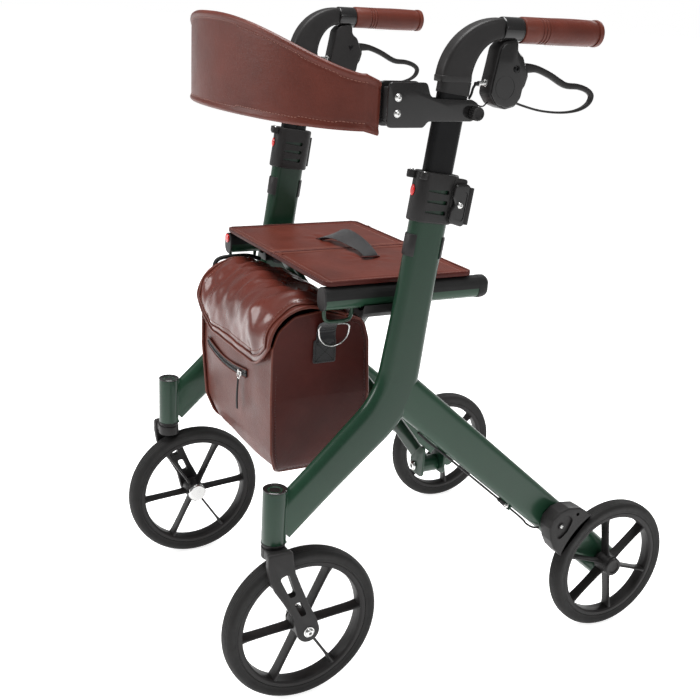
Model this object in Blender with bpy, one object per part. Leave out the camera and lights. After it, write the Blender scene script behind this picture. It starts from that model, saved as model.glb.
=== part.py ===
"""Rollator walker: two folding side frames, scissor brace, seat, backrest strap, bag, wheels and brakes.

Units are metres, +Z is up, the walker rolls toward -Y and the user stands on the +Y side.
The left half (+X) is modelled, and each paired piece is mirrored to the right.
"""
from math import atan2, cos, pi, radians, sin, sqrt

import bmesh
import bpy
from mathutils import Matrix, Vector

# ---------------------------------------------------------------- driving dimensions
GAP = 0.0003                       # clearance where two pieces touch
SIDE_X = 0.2325                    # middle plane of a side frame
TUBE_W = 0.057                     # frame tube, wide side
TUBE_T = 0.026                     # frame tube, thin side
INNER_W = 0.0455                   # height tube, wide side
INNER_T = 0.0180                   # height tube, thin side
SLIDE_GAP = 0.0004                 # height tube to bore

UPRIGHT_Y = -0.1075                # upright centre line at UPRIGHT_Z
UPRIGHT_Z = 0.695
UPRIGHT_LEAN = 0.132               # metres back per metre up
UPRIGHT_TOP = 0.061                # top of the frame tube above UPRIGHT_Z, along the tube
BORE_DEPTH = -0.205                # bottom of the bore, along the tube
HEIGHT_TUBE_LOW = -0.140           # ends of the height tube, along the tube
HEIGHT_TUBE_TOP = 0.186
SOCKET_LOW = 0.1775                # bottom of the elbow's socket, along the tube
CORNER = (-0.1405, 0.4453)         # where upright and front leg centre lines meet (y, z)
FRONT_LEG_END = (-0.3150, 0.2845)
BEND_RADIUS = 0.135
REAR_LEG_START = (-0.128, 0.4597)
AXLE_REAR = (0.2795, 0.1125)       # rear wheel centre (y, z)
REAR_LEG_PAST = 0.022              # tube runs on behind the axle

HEAD_Y = -0.319
HEAD_R = 0.017
HEAD_BOTTOM = 0.2575
HEAD_TOP = 0.3410
STEM_R = 0.0075
CASTER_TRAIL = 0.047
FRONT_R = 0.120
REAR_R = AXLE_REAR[1]
REAR_X = 0.2605
FRONT_TYRE_W = 0.029
REAR_TYRE_W = 0.026
RIM_DEPTH = 0.009                  # rim ring, radially
TYRE_DEPTH = 0.018                 # tyre, radially
SPOKES = 6
SPOKE_T = 0.0042                   # the spokes are thin blades, nearly as wide as the rim

SEAT_TOP = 0.615
SEAT_THICK = 0.0085
SEAT_FRONT = -0.233
SEAT_BACK = 0.007
SEAT_HALF = 0.186
RAIL_X = 0.178
RAIL_Z = 0.589
RAIL_W = 0.026
RAIL_H = 0.034
RAIL_FRONT = -0.235
RAIL_BACK = 0.037

PIVOT_X = 0.205                    # lower brace pivot
PIVOT_Y = -0.060
PIVOT_Z = 0.325
LUG_TOP = 0.363                    # low enough that the folded brace clears the lugs
BRACE_TOP_Y = -0.150
BRACE_W = 0.026
BRACE_T = 0.013
BRACE_SIDESTEP = 0.009             # each brace clears the other by this at the crossing

HANDLE_X = 0.238
GRIP_Z = 0.9550
ELBOW_END_Y = -0.020
GRIP_START = 0.0095
GRIP_END = 0.1420
GRIP_R = 0.0172
BAR_R = 0.0110
LEVER_PIVOT = (0.001, 0.906)
LEVER_W = 0.009

BRACKET_BOLT = (-0.0565, 0.8480)
STRAP_PIVOT_Y = -0.188
STRAP_BULGE = 0.150                # how far the strap bows forward of its ends
STRAP_T = 0.007
STRAP_END_Y = -0.1920              # the strap ends just ahead of the bracket

SEGMENTS = 36                      # round pieces

AXIS_UP = Vector((0, UPRIGHT_LEAN, 1)).normalized()
AXIS_BACK = Vector((0, 1, -UPRIGHT_LEAN)).normalized()
UPRIGHT = Matrix((
    (1, 0, 0, SIDE_X),
    (0, AXIS_BACK.y, AXIS_UP.y, UPRIGHT_Y),
    (0, AXIS_BACK.z, AXIS_UP.z, UPRIGHT_Z),
    (0, 0, 0, 1),
))


# ---------------------------------------------------------------- scene and materials
def clear_scene():
    for old in list(bpy.data.objects):
        bpy.data.objects.remove(old, do_unlink=True)


def material(name, colour, roughness, metallic=0.0):
    made = bpy.data.materials.new(name)
    made.use_nodes = True
    shader = made.node_tree.nodes["Principled BSDF"]
    shader.inputs["Base Color"].default_value = (*colour, 1.0)
    shader.inputs["Roughness"].default_value = roughness
    shader.inputs["Metallic"].default_value = metallic
    made.diffuse_color = (*colour, 1.0)
    return made


clear_scene()
GREEN = material("green_paint", (0.012, 0.045, 0.022), 0.35)
BLACK_TUBE = material("black_anodised", (0.012, 0.012, 0.012), 0.35, 0.6)
PLASTIC = material("black_plastic", (0.020, 0.019, 0.019), 0.5)
LEATHER = material("brown_leather", (0.16, 0.035, 0.022), 0.5)
RUBBER = material("black_rubber", (0.016, 0.016, 0.016), 0.75)
STEEL = material("bright_steel", (0.62, 0.62, 0.62), 0.25, 1.0)
CABLE = material("cable_sheath", (0.01, 0.01, 0.01), 0.45)
WEBBING = material("black_webbing", (0.015, 0.015, 0.015), 0.85)


# ---------------------------------------------------------------- mesh helpers
def finish_mesh(name, bm, mat):
    bmesh.ops.remove_doubles(bm, verts=bm.verts, dist=1e-6)
    bmesh.ops.recalc_face_normals(bm, faces=bm.faces)
    mesh = bpy.data.meshes.new(name)
    bm.to_mesh(mesh)
    bm.free()
    mesh.materials.append(mat)
    mesh.shade_smooth()
    mesh.set_sharp_from_angle(angle=radians(35))
    made = bpy.data.objects.new(name, mesh)
    bpy.context.scene.collection.objects.link(made)
    return made


def loft(name, rings, mat, closed=False):
    """Skin through rings of equal point counts; open ends are capped."""
    bm = bmesh.new()
    rows = [[bm.verts.new(point) for point in ring] for ring in rings]
    count = len(rows[0])
    pairs = list(zip(rows, rows[1:]))
    if closed:
        pairs.append((rows[-1], rows[0]))
    for low, high in pairs:
        for i in range(count):
            j = (i + 1) % count
            bm.faces.new((low[i], low[j], high[j], high[i]))
    if not closed:
        bm.faces.new(rows[0][::-1])
        bm.faces.new(rows[-1])
    return finish_mesh(name, bm, mat)


def oval(centre, wide_dir, thin_dir, wide, thin, steps=5):
    """A flattened tube section: two half rounds joined by straight sides."""
    wide_dir = Vector(wide_dir)
    thin_dir = Vector(thin_dir)
    radius = thin / 2
    straight = max(wide / 2 - radius, 0.0)
    ring = []
    for side in (1, -1):
        for k in range(steps + 1):
            angle = -pi / 2 + pi * k / steps
            along = side * (straight + radius * cos(angle))
            across = side * radius * sin(angle)
            ring.append(Vector(centre) + wide_dir * along + thin_dir * across)
    return ring


def circle(centre, u, v, radius, steps):
    centre, u, v = Vector(centre), Vector(u), Vector(v)
    return [centre + u * (radius * cos(2 * pi * k / steps)) + v * (radius * sin(2 * pi * k / steps))
            for k in range(steps)]


def cylinder(name, start, end, radius, mat, steps=24):
    start, end = Vector(start), Vector(end)
    axis = (end - start).normalized()
    u = axis.orthogonal().normalized()
    v = axis.cross(u)
    return loft(name, [circle(start, u, v, radius, steps), circle(end, u, v, radius, steps)], mat)


def box(name, low, high, mat, bevel=0.0):
    bm = bmesh.new()
    bmesh.ops.create_cube(bm, size=1.0)
    low, high = Vector(low), Vector(high)
    size = high - low
    middle = (high + low) / 2
    for vert in bm.verts:
        vert.co = Vector(tuple(middle[i] + vert.co[i] * size[i] for i in range(3)))
    if bevel:
        bmesh.ops.bevel(bm, geom=list(bm.edges), offset=bevel, segments=2, affect="EDGES")
    return finish_mesh(name, bm, mat)


def plate(name, outline, x_low, x_high, mat, bevel=0.0):
    """A flat piece: an outline in (y, z), thick along X, with eased edges."""
    bm = bmesh.new()
    steps = [(0.0, x_low), (0.0, x_high)]
    if bevel:
        steps = [(bevel, x_low), (0.0, x_low + bevel), (0.0, x_high - bevel), (bevel, x_high)]
    rows = []
    for inset, x in steps:
        ring = inset_outline(outline, inset)
        rows.append([bm.verts.new((x, y, z)) for y, z in ring])
    for low, high in zip(rows, rows[1:]):
        for i in range(len(outline)):
            j = (i + 1) % len(outline)
            bm.faces.new((low[i], low[j], high[j], high[i]))
    bm.faces.new(rows[0][::-1])
    bm.faces.new(rows[-1])
    return finish_mesh(name, bm, mat)


def inset_outline(outline, distance):
    if not distance:
        return list(outline)
    area = sum(a[0] * b[1] - b[0] * a[1] for a, b in zip(outline, outline[1:] + outline[:1]))
    turn = 1 if area > 0 else -1
    ring = []
    count = len(outline)
    for i, (y, z) in enumerate(outline):
        before = outline[i - 1]
        after = outline[(i + 1) % count]
        d1 = Vector((y - before[0], z - before[1])).normalized()
        d2 = Vector((after[0] - y, after[1] - z)).normalized()
        normal = Vector((-(d1.y + d2.y), d1.x + d2.x))
        normal.normalize()
        ring.append((y + turn * normal.x * distance, z + turn * normal.y * distance))
    return ring


def lathe_x(name, profile, centre, mat, steps=SEGMENTS):
    """Turn a closed profile of (x, radius) points about an axis along X."""
    x0, y0, z0 = centre
    rings = []
    for x, radius in profile:
        rings.append([(x0 + x, y0 + radius * cos(2 * pi * k / steps), z0 + radius * sin(2 * pi * k / steps))
                      for k in range(steps)])
    return loft(name, rings, mat, closed=True)


def tube(name, points, radius, mat, sides=10):
    """A round rod or cable through points, its section carried along without twist."""
    points = [Vector(p) for p in points]
    rings = []
    u = None
    for i, point in enumerate(points):
        tangent = (points[min(i + 1, len(points) - 1)] - points[max(i - 1, 0)]).normalized()
        u = tangent.orthogonal() if u is None else u - tangent * u.dot(tangent)
        u.normalize()
        rings.append(circle(point, u, tangent.cross(u), radius, sides))
    return loft(name, rings, mat)


def smooth_route(points, per_leg=5):
    """Points read from a smooth curve through the route's own points."""
    points = [Vector(p) for p in points]
    padded = [points[0] * 2 - points[1]] + points + [points[-1] * 2 - points[-2]]
    route = []
    for i in range(1, len(padded) - 2):
        p0, p1, p2, p3 = padded[i - 1:i + 3]
        for k in range(per_leg):
            t = k / per_leg
            route.append(0.5 * ((2 * p1) + (p2 - p0) * t + (2 * p0 - 5 * p1 + 4 * p2 - p3) * t * t
                                + (3 * p1 - p0 - 3 * p2 + p3) * t ** 3))
    route.append(points[-1])
    return route


def combine(base, others, operation):
    """Join pieces to, or cut pieces from, a solid, and keep the result as its mesh."""
    for other in others:
        step = base.modifiers.new("step", "BOOLEAN")
        step.operation = operation
        step.solver = "EXACT"
        step.object = other
        bpy.context.view_layer.update()
        graph = bpy.context.evaluated_depsgraph_get()
        result = bpy.data.meshes.new_from_object(base.evaluated_get(graph))
        base.modifiers.remove(step)
        base.data = result
        bpy.data.objects.remove(other, do_unlink=True)
    mesh = base.data
    bm = bmesh.new()
    bm.from_mesh(mesh)
    bmesh.ops.remove_doubles(bm, verts=bm.verts, dist=1e-6)
    bmesh.ops.dissolve_degenerate(bm, edges=bm.edges, dist=1e-6)
    bm.to_mesh(mesh)
    bm.free()
    mesh.shade_smooth()
    mesh.set_sharp_from_angle(angle=radians(35))
    return base


def union(base, *others):
    return combine(base, others, "UNION")


def cut(base, *others):
    return combine(base, others, "DIFFERENCE")


def place(made, matrix):
    made.data.transform(matrix)
    return made


def set_origin(made, point):
    """Put an object's origin on its joint's axis without moving its shape."""
    point = Vector(point)
    made.data.transform(Matrix.Translation(-point))
    made.location = point
    return made


def mirror_right(made):
    """Copy a left piece to the right side."""
    bm = bmesh.new()
    bm.from_mesh(made.data)
    for vert in bm.verts:
        vert.co.x = -vert.co.x
    bmesh.ops.reverse_faces(bm, faces=bm.faces)
    name = made.name.replace("left_", "right_")
    mesh = bpy.data.meshes.new(name)
    bm.to_mesh(mesh)
    bm.free()
    mesh.materials.append(made.data.materials[0])
    mesh.shade_smooth()
    mesh.set_sharp_from_angle(angle=radians(35))
    copy = bpy.data.objects.new(name, mesh)
    copy.location = (-made.location.x, made.location.y, made.location.z)
    bpy.context.scene.collection.objects.link(copy)
    return copy


# ---------------------------------------------------------------- side frame
def bend_path():
    """Centre line of the bent tube: down the upright, round the bend, along the front leg."""
    top = Vector((UPRIGHT_Y, UPRIGHT_Z)) + Vector((AXIS_UP.y, AXIS_UP.z)) * UPRIGHT_TOP
    corner = Vector(CORNER)
    end = Vector(FRONT_LEG_END)
    down = (corner - top).normalized()
    out = (end - corner).normalized()
    angle = down.angle(out)
    reach = BEND_RADIUS * sin(angle / 2) / cos(angle / 2)
    start = corner - down * reach
    stop = corner + out * reach
    points = [top, top + (start - top) * 0.5, start]
    steps = 8
    for k in range(1, steps):
        t = k / steps
        points.append(start * (1 - t) ** 2 + corner * 2 * t * (1 - t) + stop * t ** 2)
    points += [stop, end]
    return points


def swept(name, points, widths, mat):
    """Sweep the oval section along a (y, z) path in the side plane."""
    rings = []
    count = len(points)
    for i, point in enumerate(points):
        before = points[max(i - 1, 0)]
        after = points[min(i + 1, count - 1)]
        tangent = (after - before).normalized()
        wide_dir = Vector((0, tangent.y, -tangent.x))
        rings.append(oval((SIDE_X, point.x, point.y), wide_dir, (1, 0, 0), widths[i], TUBE_T))
    return loft(name, rings, mat)


def make_frame():
    points = bend_path()
    corner = Vector(CORNER)
    widths = [TUBE_W - 0.001 + 0.009 * max(0.0, 1 - (p - corner).length / 0.16) for p in points]
    frame = swept("left_frame", points, widths, GREEN)
    start = Vector(REAR_LEG_START)
    axle = Vector(AXLE_REAR)
    along = (axle - start).normalized()
    leg = swept("leg", [start, start.lerp(axle, 0.5), axle + along * REAR_LEG_PAST], [TUBE_W] * 3, GREEN)
    head = cylinder("head", (SIDE_X, HEAD_Y, HEAD_BOTTOM), (SIDE_X, HEAD_Y, HEAD_TOP), HEAD_R, GREEN, 32)
    lugs = []
    for y in (PIVOT_Y - 0.0200, PIVOT_Y + 0.0165):
        lugs.append(box("lug", (PIVOT_X - 0.011, y, PIVOT_Z - 0.011), (SIDE_X - 0.004, y + 0.0035, LUG_TOP), GREEN))
    pin = cylinder("pin", (PIVOT_X, PIVOT_Y - 0.021, PIVOT_Z), (PIVOT_X, PIVOT_Y + 0.021, PIVOT_Z), 0.0045, STEEL, 20)
    union(frame, leg, head, *lugs, pin)
    bore = loft("bore", [oval((0, 0, a), (0, 1, 0), (1, 0, 0), INNER_W + 2 * SLIDE_GAP, INNER_T + 2 * SLIDE_GAP)
                         for a in (BORE_DEPTH, UPRIGHT_TOP + 0.01)], GREEN)
    place(bore, UPRIGHT)
    stem_hole = cylinder("hole", (SIDE_X, HEAD_Y, HEAD_BOTTOM - 0.01), (SIDE_X, HEAD_Y, HEAD_TOP - 0.006),
                         STEM_R + 2 * GAP, GREEN, 24)
    dish = cylinder("dish", (SIDE_X, HEAD_Y, HEAD_TOP - 0.0030), (SIDE_X, HEAD_Y, HEAD_TOP + 0.01), 0.0125, GREEN, 24)
    axle_hole = cylinder("hole", (SIDE_X - 0.03, *AXLE_REAR), (SIDE_X + 0.03, *AXLE_REAR), 0.0060 + GAP, GREEN, 24)
    return cut(frame, bore, stem_hole, dish, axle_hole)


# ---------------------------------------------------------------- height tube, elbow, grip
def make_height_tube():
    made = loft("left_height_tube", [oval((0, 0, a), (0, 1, 0), (1, 0, 0), INNER_W, INNER_T)
                                     for a in (HEIGHT_TUBE_LOW, HEIGHT_TUBE_TOP)], BLACK_TUBE)
    return place(made, UPRIGHT)


def make_elbow():
    """Flattened quarter bend with the round handle bar, and the socket that takes the height tube."""
    outer = (-0.0225, 0.8885, 0.0860, 0.0810)
    inner = (-0.0225, 0.8885, 0.0395, 0.0530)
    steps = 9
    rings = []
    for k in range(steps + 1):
        t = k / steps * pi / 2
        far = Vector((outer[0] - outer[2] * cos(t), outer[1] + outer[3] * sin(t)))
        near = Vector((inner[0] - inner[2] * cos(t), inner[1] + inner[3] * sin(t)))
        middle = (far + near) / 2
        wide = (far - near).length
        direction = (far - near).normalized()
        x = SIDE_X + (HANDLE_X - SIDE_X) * k / steps
        rings.append(oval((x, middle.x, middle.y), (0, direction.x, direction.y), (1, 0, 0), wide, 0.027))
    elbow = loft("left_elbow", rings, PLASTIC)
    bar = cylinder("bar", (HANDLE_X, ELBOW_END_Y - 0.012, GRIP_Z), (HANDLE_X, GRIP_END - 0.006, GRIP_Z), BAR_R,
                   PLASTIC)
    union(elbow, bar)
    trim = box("trim", (SIDE_X - 0.03, -0.14, 0.84), (SIDE_X + 0.04, -0.04, 0.8872), PLASTIC)
    cut(elbow, trim)
    socket = loft("socket", [oval((0, 0, a), (0, 1, 0), (1, 0, 0), INNER_W + 0.0030, INNER_T + 0.0050)
                             for a in (SOCKET_LOW, HEIGHT_TUBE_TOP + 0.010)], PLASTIC)
    place(socket, UPRIGHT)
    union(elbow, socket)
    bore = loft("bore", [oval((0, 0, a), (0, 1, 0), (1, 0, 0), INNER_W + 2 * GAP, INNER_T + 2 * GAP)
                         for a in (SOCKET_LOW - 0.010, HEIGHT_TUBE_TOP + GAP)], PLASTIC)
    place(bore, UPRIGHT)
    return cut(elbow, bore)


def make_grip():
    """Turned grip with two ring grooves and a flared, rounded end; the bar fills its bore."""
    bore = BAR_R + GAP
    depth = GRIP_END - 0.004
    profile = [
        (GRIP_START, bore), (GRIP_START, GRIP_R - 0.0015), (GRIP_START + 0.002, GRIP_R),
        (0.0360, GRIP_R), (0.0375, GRIP_R - 0.0012), (0.0390, GRIP_R),
        (0.0410, GRIP_R), (0.0425, GRIP_R - 0.0012), (0.0440, GRIP_R),
        (GRIP_END - 0.0090, GRIP_R - 0.0003), (GRIP_END - 0.0075, GRIP_R + 0.0010),
        (GRIP_END - 0.0030, GRIP_R + 0.0002),
        (GRIP_END, GRIP_R - 0.0050),
    ]
    rings = [circle((HANDLE_X, y, GRIP_Z), (1, 0, 0), (0, 0, 1), r, 24) for y, r in profile]
    grip = loft("left_grip", rings, LEATHER)
    hole = cylinder("hole", (HANDLE_X, GRIP_START - 0.01, GRIP_Z), (HANDLE_X, depth, GRIP_Z), bore, LEATHER, 24)
    return cut(grip, hole)


# ---------------------------------------------------------------- brake lever and housing
HOUSING = [(-0.0205, 0.9400), (0.002, 0.944), (0.003, 0.928), (0.013, 0.921), (0.018, 0.909), (0.022, 0.897),
           (0.017, 0.885), (0.014, 0.868), (0.006, 0.857), (-0.010, 0.853), (-0.028, 0.859), (-0.038, 0.872),
           (-0.036, 0.889), (-0.031, 0.915), (-0.0280, 0.932)]


def make_brake_housing():
    low, high = HANDLE_X - 0.014, HANDLE_X + 0.014
    body = plate("left_brake_housing", HOUSING, low, high, PLASTIC, 0.002)
    collar = cylinder("collar", (HANDLE_X, -0.0218, GRIP_Z), (HANDLE_X, 0.0090, GRIP_Z), 0.0158, PLASTIC, 32)
    union(body, collar)
    bore = cylinder("bore", (HANDLE_X, -0.06, GRIP_Z), (HANDLE_X, 0.03, GRIP_Z), BAR_R + GAP, PLASTIC, 24)
    slot = box("slot", (HANDLE_X - LEVER_W / 2 - 0.0006, -0.018, 0.8645), (HANDLE_X + LEVER_W / 2 + 0.0006, 0.04, 0.9300),
               PLASTIC)
    cut(body, bore, slot)
    pivot = cylinder("pivot", (HANDLE_X - 0.0150, *LEVER_PIVOT), (HANDLE_X + 0.0150, *LEVER_PIVOT), 0.0032, STEEL, 16)
    barrel = cylinder("barrel", (HANDLE_X, -0.0300, 0.8865), (HANDLE_X, -0.0490, 0.8850), 0.0038, STEEL, 16)
    return union(body, pivot, barrel)


LEVER_OUTER = [(0.0035, 0.9125), (0.0200, 0.9140), (0.0460, 0.9100), (0.0690, 0.9025), (0.0950, 0.8900),
               (0.1180, 0.8875), (0.1360, 0.8825), (0.1465, 0.8730), (0.1430, 0.8610), (0.1300, 0.8525),
               (0.1100, 0.8480), (0.0850, 0.8470), (0.0560, 0.8495), (0.0240, 0.8560)]
LEVER_INNER = [(0.0240, 0.8590), (0.0560, 0.8525), (0.0850, 0.8500), (0.1090, 0.8510), (0.1265, 0.8555),
               (0.1375, 0.8630), (0.1395, 0.8715), (0.1320, 0.8765), (0.1170, 0.8800), (0.0940, 0.8815),
               (0.0670, 0.8940), (0.0450, 0.9020), (0.0330, 0.8990), (0.0250, 0.8880)]


def make_brake_lever():
    """Closed wavy loop that turns on the pivot; its root sits in the housing's slot."""
    half = LEVER_W / 2
    outer = LEVER_OUTER[:-1] + [(0.0260, 0.8555), (0.0245, 0.8700)] + [(-0.0040, 0.8760), (-0.0075, 0.9020)]
    lever = plate("left_brake_lever", outer, HANDLE_X - half, HANDLE_X + half, PLASTIC, 0.0012)
    hollow = [(0.0290, 0.8588)] + LEVER_INNER[1:-1] + [(0.0285, 0.8830)]
    window = plate("window", hollow, HANDLE_X - half - 0.01, HANDLE_X + half + 0.01, PLASTIC)
    hole = cylinder("hole", (HANDLE_X - 0.02, *LEVER_PIVOT), (HANDLE_X + 0.02, *LEVER_PIVOT), 0.0032 + GAP, PLASTIC, 16)
    cut(lever, window, hole)
    return set_origin(lever, (HANDLE_X, *LEVER_PIVOT))


def make_upper_cable():
    """Brake cable loop from the barrel round to the height tube, which it enters."""
    route = [(HANDLE_X, -0.0495, 0.8850), (HANDLE_X, -0.0530, 0.8838), (0.2370, -0.0555, 0.8790),
             (0.2350, -0.0560, 0.8715), (0.2335, -0.0585, 0.8650)]
    return tube("left_brake_cable", smooth_route(route, 4), 0.0016, CABLE)


# ---------------------------------------------------------------- height clamp
def make_height_clamp():
    """Collar round the top of the upright, with three slots in its outer face."""
    low, high = 0.008, 0.0745
    body = loft("left_height_clamp", [oval((0, 0, a), (0, 1, 0), (1, 0, 0), w, t) for a, w, t in (
        (low, 0.0640, 0.0330), (low + 0.004, 0.0660, 0.0350), (high - 0.004, 0.0660, 0.0350), (high, 0.0630, 0.0320))],
        PLASTIC)
    ear_front = cylinder("ear", (-0.006, -0.0360, high - 0.010), (-0.006, -0.0360, high - 0.001), 0.0062, PLASTIC, 16)
    ear_side = cylinder("ear", (0.0150, -0.0290, high - 0.009), (0.0150, -0.0290, high - 0.001), 0.0055, PLASTIC, 16)
    block = box("block", (0.0100, 0.0200, low + 0.002), (0.0180, 0.0400, high - 0.003), PLASTIC, 0.0015)
    union(body, ear_front, ear_side, block)
    frame_hole = loft("hole", [oval((0, 0, a), (0, 1, 0), (1, 0, 0), TUBE_W - 0.001 + 0.0016, TUBE_T + 0.0008)
                               for a in (low - 0.01, UPRIGHT_TOP + GAP)], PLASTIC)
    tube_hole = loft("hole", [oval((0, 0, a), (0, 1, 0), (1, 0, 0), INNER_W + 0.0008, INNER_T + 0.0008)
                              for a in (UPRIGHT_TOP - 0.005, high + 0.01)], PLASTIC)
    slots = [box("slot", (0.0120, -0.0180, a), (0.0200, 0.0140, a + 0.0065), PLASTIC)
             for a in (0.0200, 0.0340, 0.0480)]
    cut(body, frame_hole, tube_hole, *slots)
    return place(body, UPRIGHT)


def make_clamp_lever():
    """Quick-release lever on the outer face, turning on an upright pin behind the collar."""
    outline = [(0.0180, 0.012), (0.0400, 0.008), (0.0455, 0.016), (0.0455, 0.058), (0.0400, 0.066),
               (0.0180, 0.064), (0.0180, 0.046), (0.0230, 0.038), (0.0180, 0.030)]
    lever = plate("left_clamp_lever", outline, 0.0183, 0.0238, PLASTIC, 0.0012)
    pin = cylinder("pin", (0.0220, 0.0445, 0.012), (0.0220, 0.0445, 0.062), 0.0040, PLASTIC, 16)
    union(lever, pin)
    place(lever, UPRIGHT)
    return set_origin(lever, UPRIGHT @ Vector((0.0220, 0.0445, 0.037)))


# ---------------------------------------------------------------- backrest
def make_back_bracket():
    """Two plates on the sides of the height tube, joined by the clamp bolt and by the strap's tongue."""
    outline = [(-0.1870, 0.8330), (-0.1830, 0.8290), (-0.1330, 0.8290), (-0.1260, 0.8370), (-0.0600, 0.8370),
               (-0.0520, 0.8410), (-0.0500, 0.8500), (-0.0520, 0.8600), (-0.0600, 0.8650), (-0.1180, 0.8660),
               (-0.1250, 0.8700), (-0.1310, 0.8830), (-0.1350, 0.8860), (-0.1830, 0.8860), (-0.1870, 0.8820)]
    reach = INNER_T / 2 + GAP
    near = plate("left_back_bracket", outline, SIDE_X + reach, SIDE_X + reach + 0.0040, PLASTIC, 0.0008)
    far = plate("far", outline, SIDE_X - reach - 0.0040, SIDE_X - reach, PLASTIC, 0.0008)
    y, z = BRACKET_BOLT
    bolt = cylinder("bolt", (SIDE_X - 0.0155, y, z), (SIDE_X + 0.0145, y, z), 0.0040, STEEL, 16)
    core = box("core", (SIDE_X - reach - 0.001, -0.1830, 0.8360), (SIDE_X + reach + 0.001, -0.1450, 0.8790), PLASTIC)
    screws = []
    for height in (0.8470, 0.8670):
        screws.append(cylinder("screw", (SIDE_X, -0.1730, height), (SIDE_X + reach + 0.0058, -0.1730, height), 0.0042,
                               STEEL, 16))
    return union(near, core, far, bolt, *screws)


def make_knob():
    """Ribbed round knob on the clamp bolt."""
    y, z = BRACKET_BOLT
    steps = 48
    rings = []
    for x, radius in ((0.0138, 0.0080), (0.0150, 0.0092), (0.0240, 0.0092), (0.0255, 0.0082)):
        ring = []
        for k in range(steps):
            angle = 2 * pi * k / steps
            r = radius - (0.0005 if k % 4 < 2 else 0.0)
            ring.append((SIDE_X + x, y + r * cos(angle), z + r * sin(angle)))
        rings.append(ring)
    knob = loft("left_bracket_knob", rings, PLASTIC)
    hole = cylinder("hole", (SIDE_X, y, z), (SIDE_X + 0.0150, y, z), 0.0040 + GAP, PLASTIC, 16)
    cut(knob, hole)
    return set_origin(knob, (SIDE_X + 0.019, y, z))


def strap_edge(x):
    """Top and bottom height of the strap at a distance from the middle."""
    share = min(abs(x) / SIDE_X, 1.0)
    top = 0.9575 - 0.063 * share ** 2.5
    bottom = 0.8295 - 0.0065 * share ** 2
    return bottom, top


def strap_y(x):
    share = min(abs(x) / (SIDE_X + 0.004), 1.0)
    return STRAP_PIVOT_Y - 0.004 - STRAP_BULGE * sqrt(1 - share ** 2)


def make_back_strap():
    """Left half of the bowed strap, from the middle to the bracket."""
    steps = 14
    rings = []
    for k in range(steps + 1):
        angle = pi / 2 * k / steps * 0.97
        x = (SIDE_X + 0.002) * sin(angle)
        ahead = (SIDE_X + 0.002) * sin(angle + 0.01)
        y = strap_y(x)
        tangent = Vector((ahead - x, strap_y(ahead) - y, 0)).normalized()
        normal = Vector((-tangent.y, tangent.x, 0))
        x = max(x, GAP / 2)
        bottom, top = strap_edge(x)
        inside = Vector((x, y, 0)) + normal * STRAP_T
        rings.append([(x, y, bottom), (inside.x if k else x, inside.y, bottom),
                      (inside.x if k else x, inside.y, top), (x, y, top)])
    bottom, top = strap_edge(SIDE_X)
    rings.append([(px, STRAP_END_Y, bottom - 0.0055 if pz < 0.85 else top - 0.0085) for px, _, pz in rings[-1]])
    strap = loft("left_back_strap", rings, LEATHER)
    return set_origin(strap, (SIDE_X, STRAP_PIVOT_Y, 0.855))


# ---------------------------------------------------------------- seat, rails, brace
def make_rail():
    """Oval seat rail with the wire loop under it that carries the bag."""
    rings = []
    for y, shrink in ((RAIL_FRONT, 0.003), (RAIL_FRONT + 0.003, 0.0), (RAIL_BACK - 0.003, 0.0), (RAIL_BACK, 0.003)):
        rings.append(oval((RAIL_X, y, RAIL_Z), (0, 0, 1), (1, 0, 0), RAIL_H - shrink, RAIL_W - shrink, 6))
    rail = loft("left_seat_rail", rings, GREEN)
    low = RAIL_Z - RAIL_H / 2
    path = [(RAIL_X, -0.2270, low + 0.004), (RAIL_X, -0.2255, low - 0.010), (RAIL_X, -0.2200, low - 0.0165),
            (RAIL_X, -0.2080, low - 0.0170), (RAIL_X, -0.1960, low - 0.0165), (RAIL_X, -0.1900, low - 0.010),
            (RAIL_X, -0.1885, low + 0.004)]
    return union(rail, tube("hook", path, 0.0027, GREEN))


def make_seat_panel():
    """Left half of the seat, from the crease to just past the rail."""
    half = SEAT_THICK / 2
    middle = SEAT_TOP - half
    rings = []
    for x, grow in ((GAP / 2, -0.0015), (0.010, 0.0), (SEAT_HALF - 0.004, 0.0), (SEAT_HALF, -0.0020)):
        front, back = SEAT_FRONT - grow * 0.5, SEAT_BACK + grow * 0.5
        h = half + grow * 0.6
        rings.append([(x, front, middle - h + 0.001), (x, back, middle - h + 0.001), (x, back + 0.001, middle),
                      (x, back, middle + h), (x, front, middle + h), (x, front - 0.001, middle)])
    panel = loft("left_seat_panel", rings, LEATHER)
    return set_origin(panel, (RAIL_X, 0, SEAT_TOP - SEAT_THICK))


def make_lift_strap():
    """Webbing loop across the crease, lifted in the middle to fold the walker."""
    half_w = 0.0125
    rings = []
    for x, lift in ((-0.068, 0.0006), (-0.058, 0.0032), (-0.035, 0.0085), (0.0, 0.0110), (0.035, 0.0085),
                    (0.058, 0.0032), (0.068, 0.0006)):
        z = SEAT_TOP + lift
        y = -0.105 + x * 0.10
        rings.append([(x, y - half_w, z), (x, y + half_w, z), (x, y + half_w, z + 0.002), (x, y - half_w, z + 0.002)])
    return loft("seat_lift_strap", rings, WEBBING)


def brace_points(sidestep):
    """Lower pivot, crossing and top of one brace as it runs from left to right."""
    middle_z = PIVOT_Z + (RAIL_Z - PIVOT_Z) * PIVOT_X / (PIVOT_X + RAIL_X)
    middle_y = (PIVOT_Y + BRACE_TOP_Y) / 2 + sidestep
    pivot = Vector((PIVOT_X, PIVOT_Y, PIVOT_Z))
    middle = Vector((0, middle_y, middle_z))
    top = Vector((-RAIL_X, BRACE_TOP_Y, RAIL_Z))
    return pivot, middle, top


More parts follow.
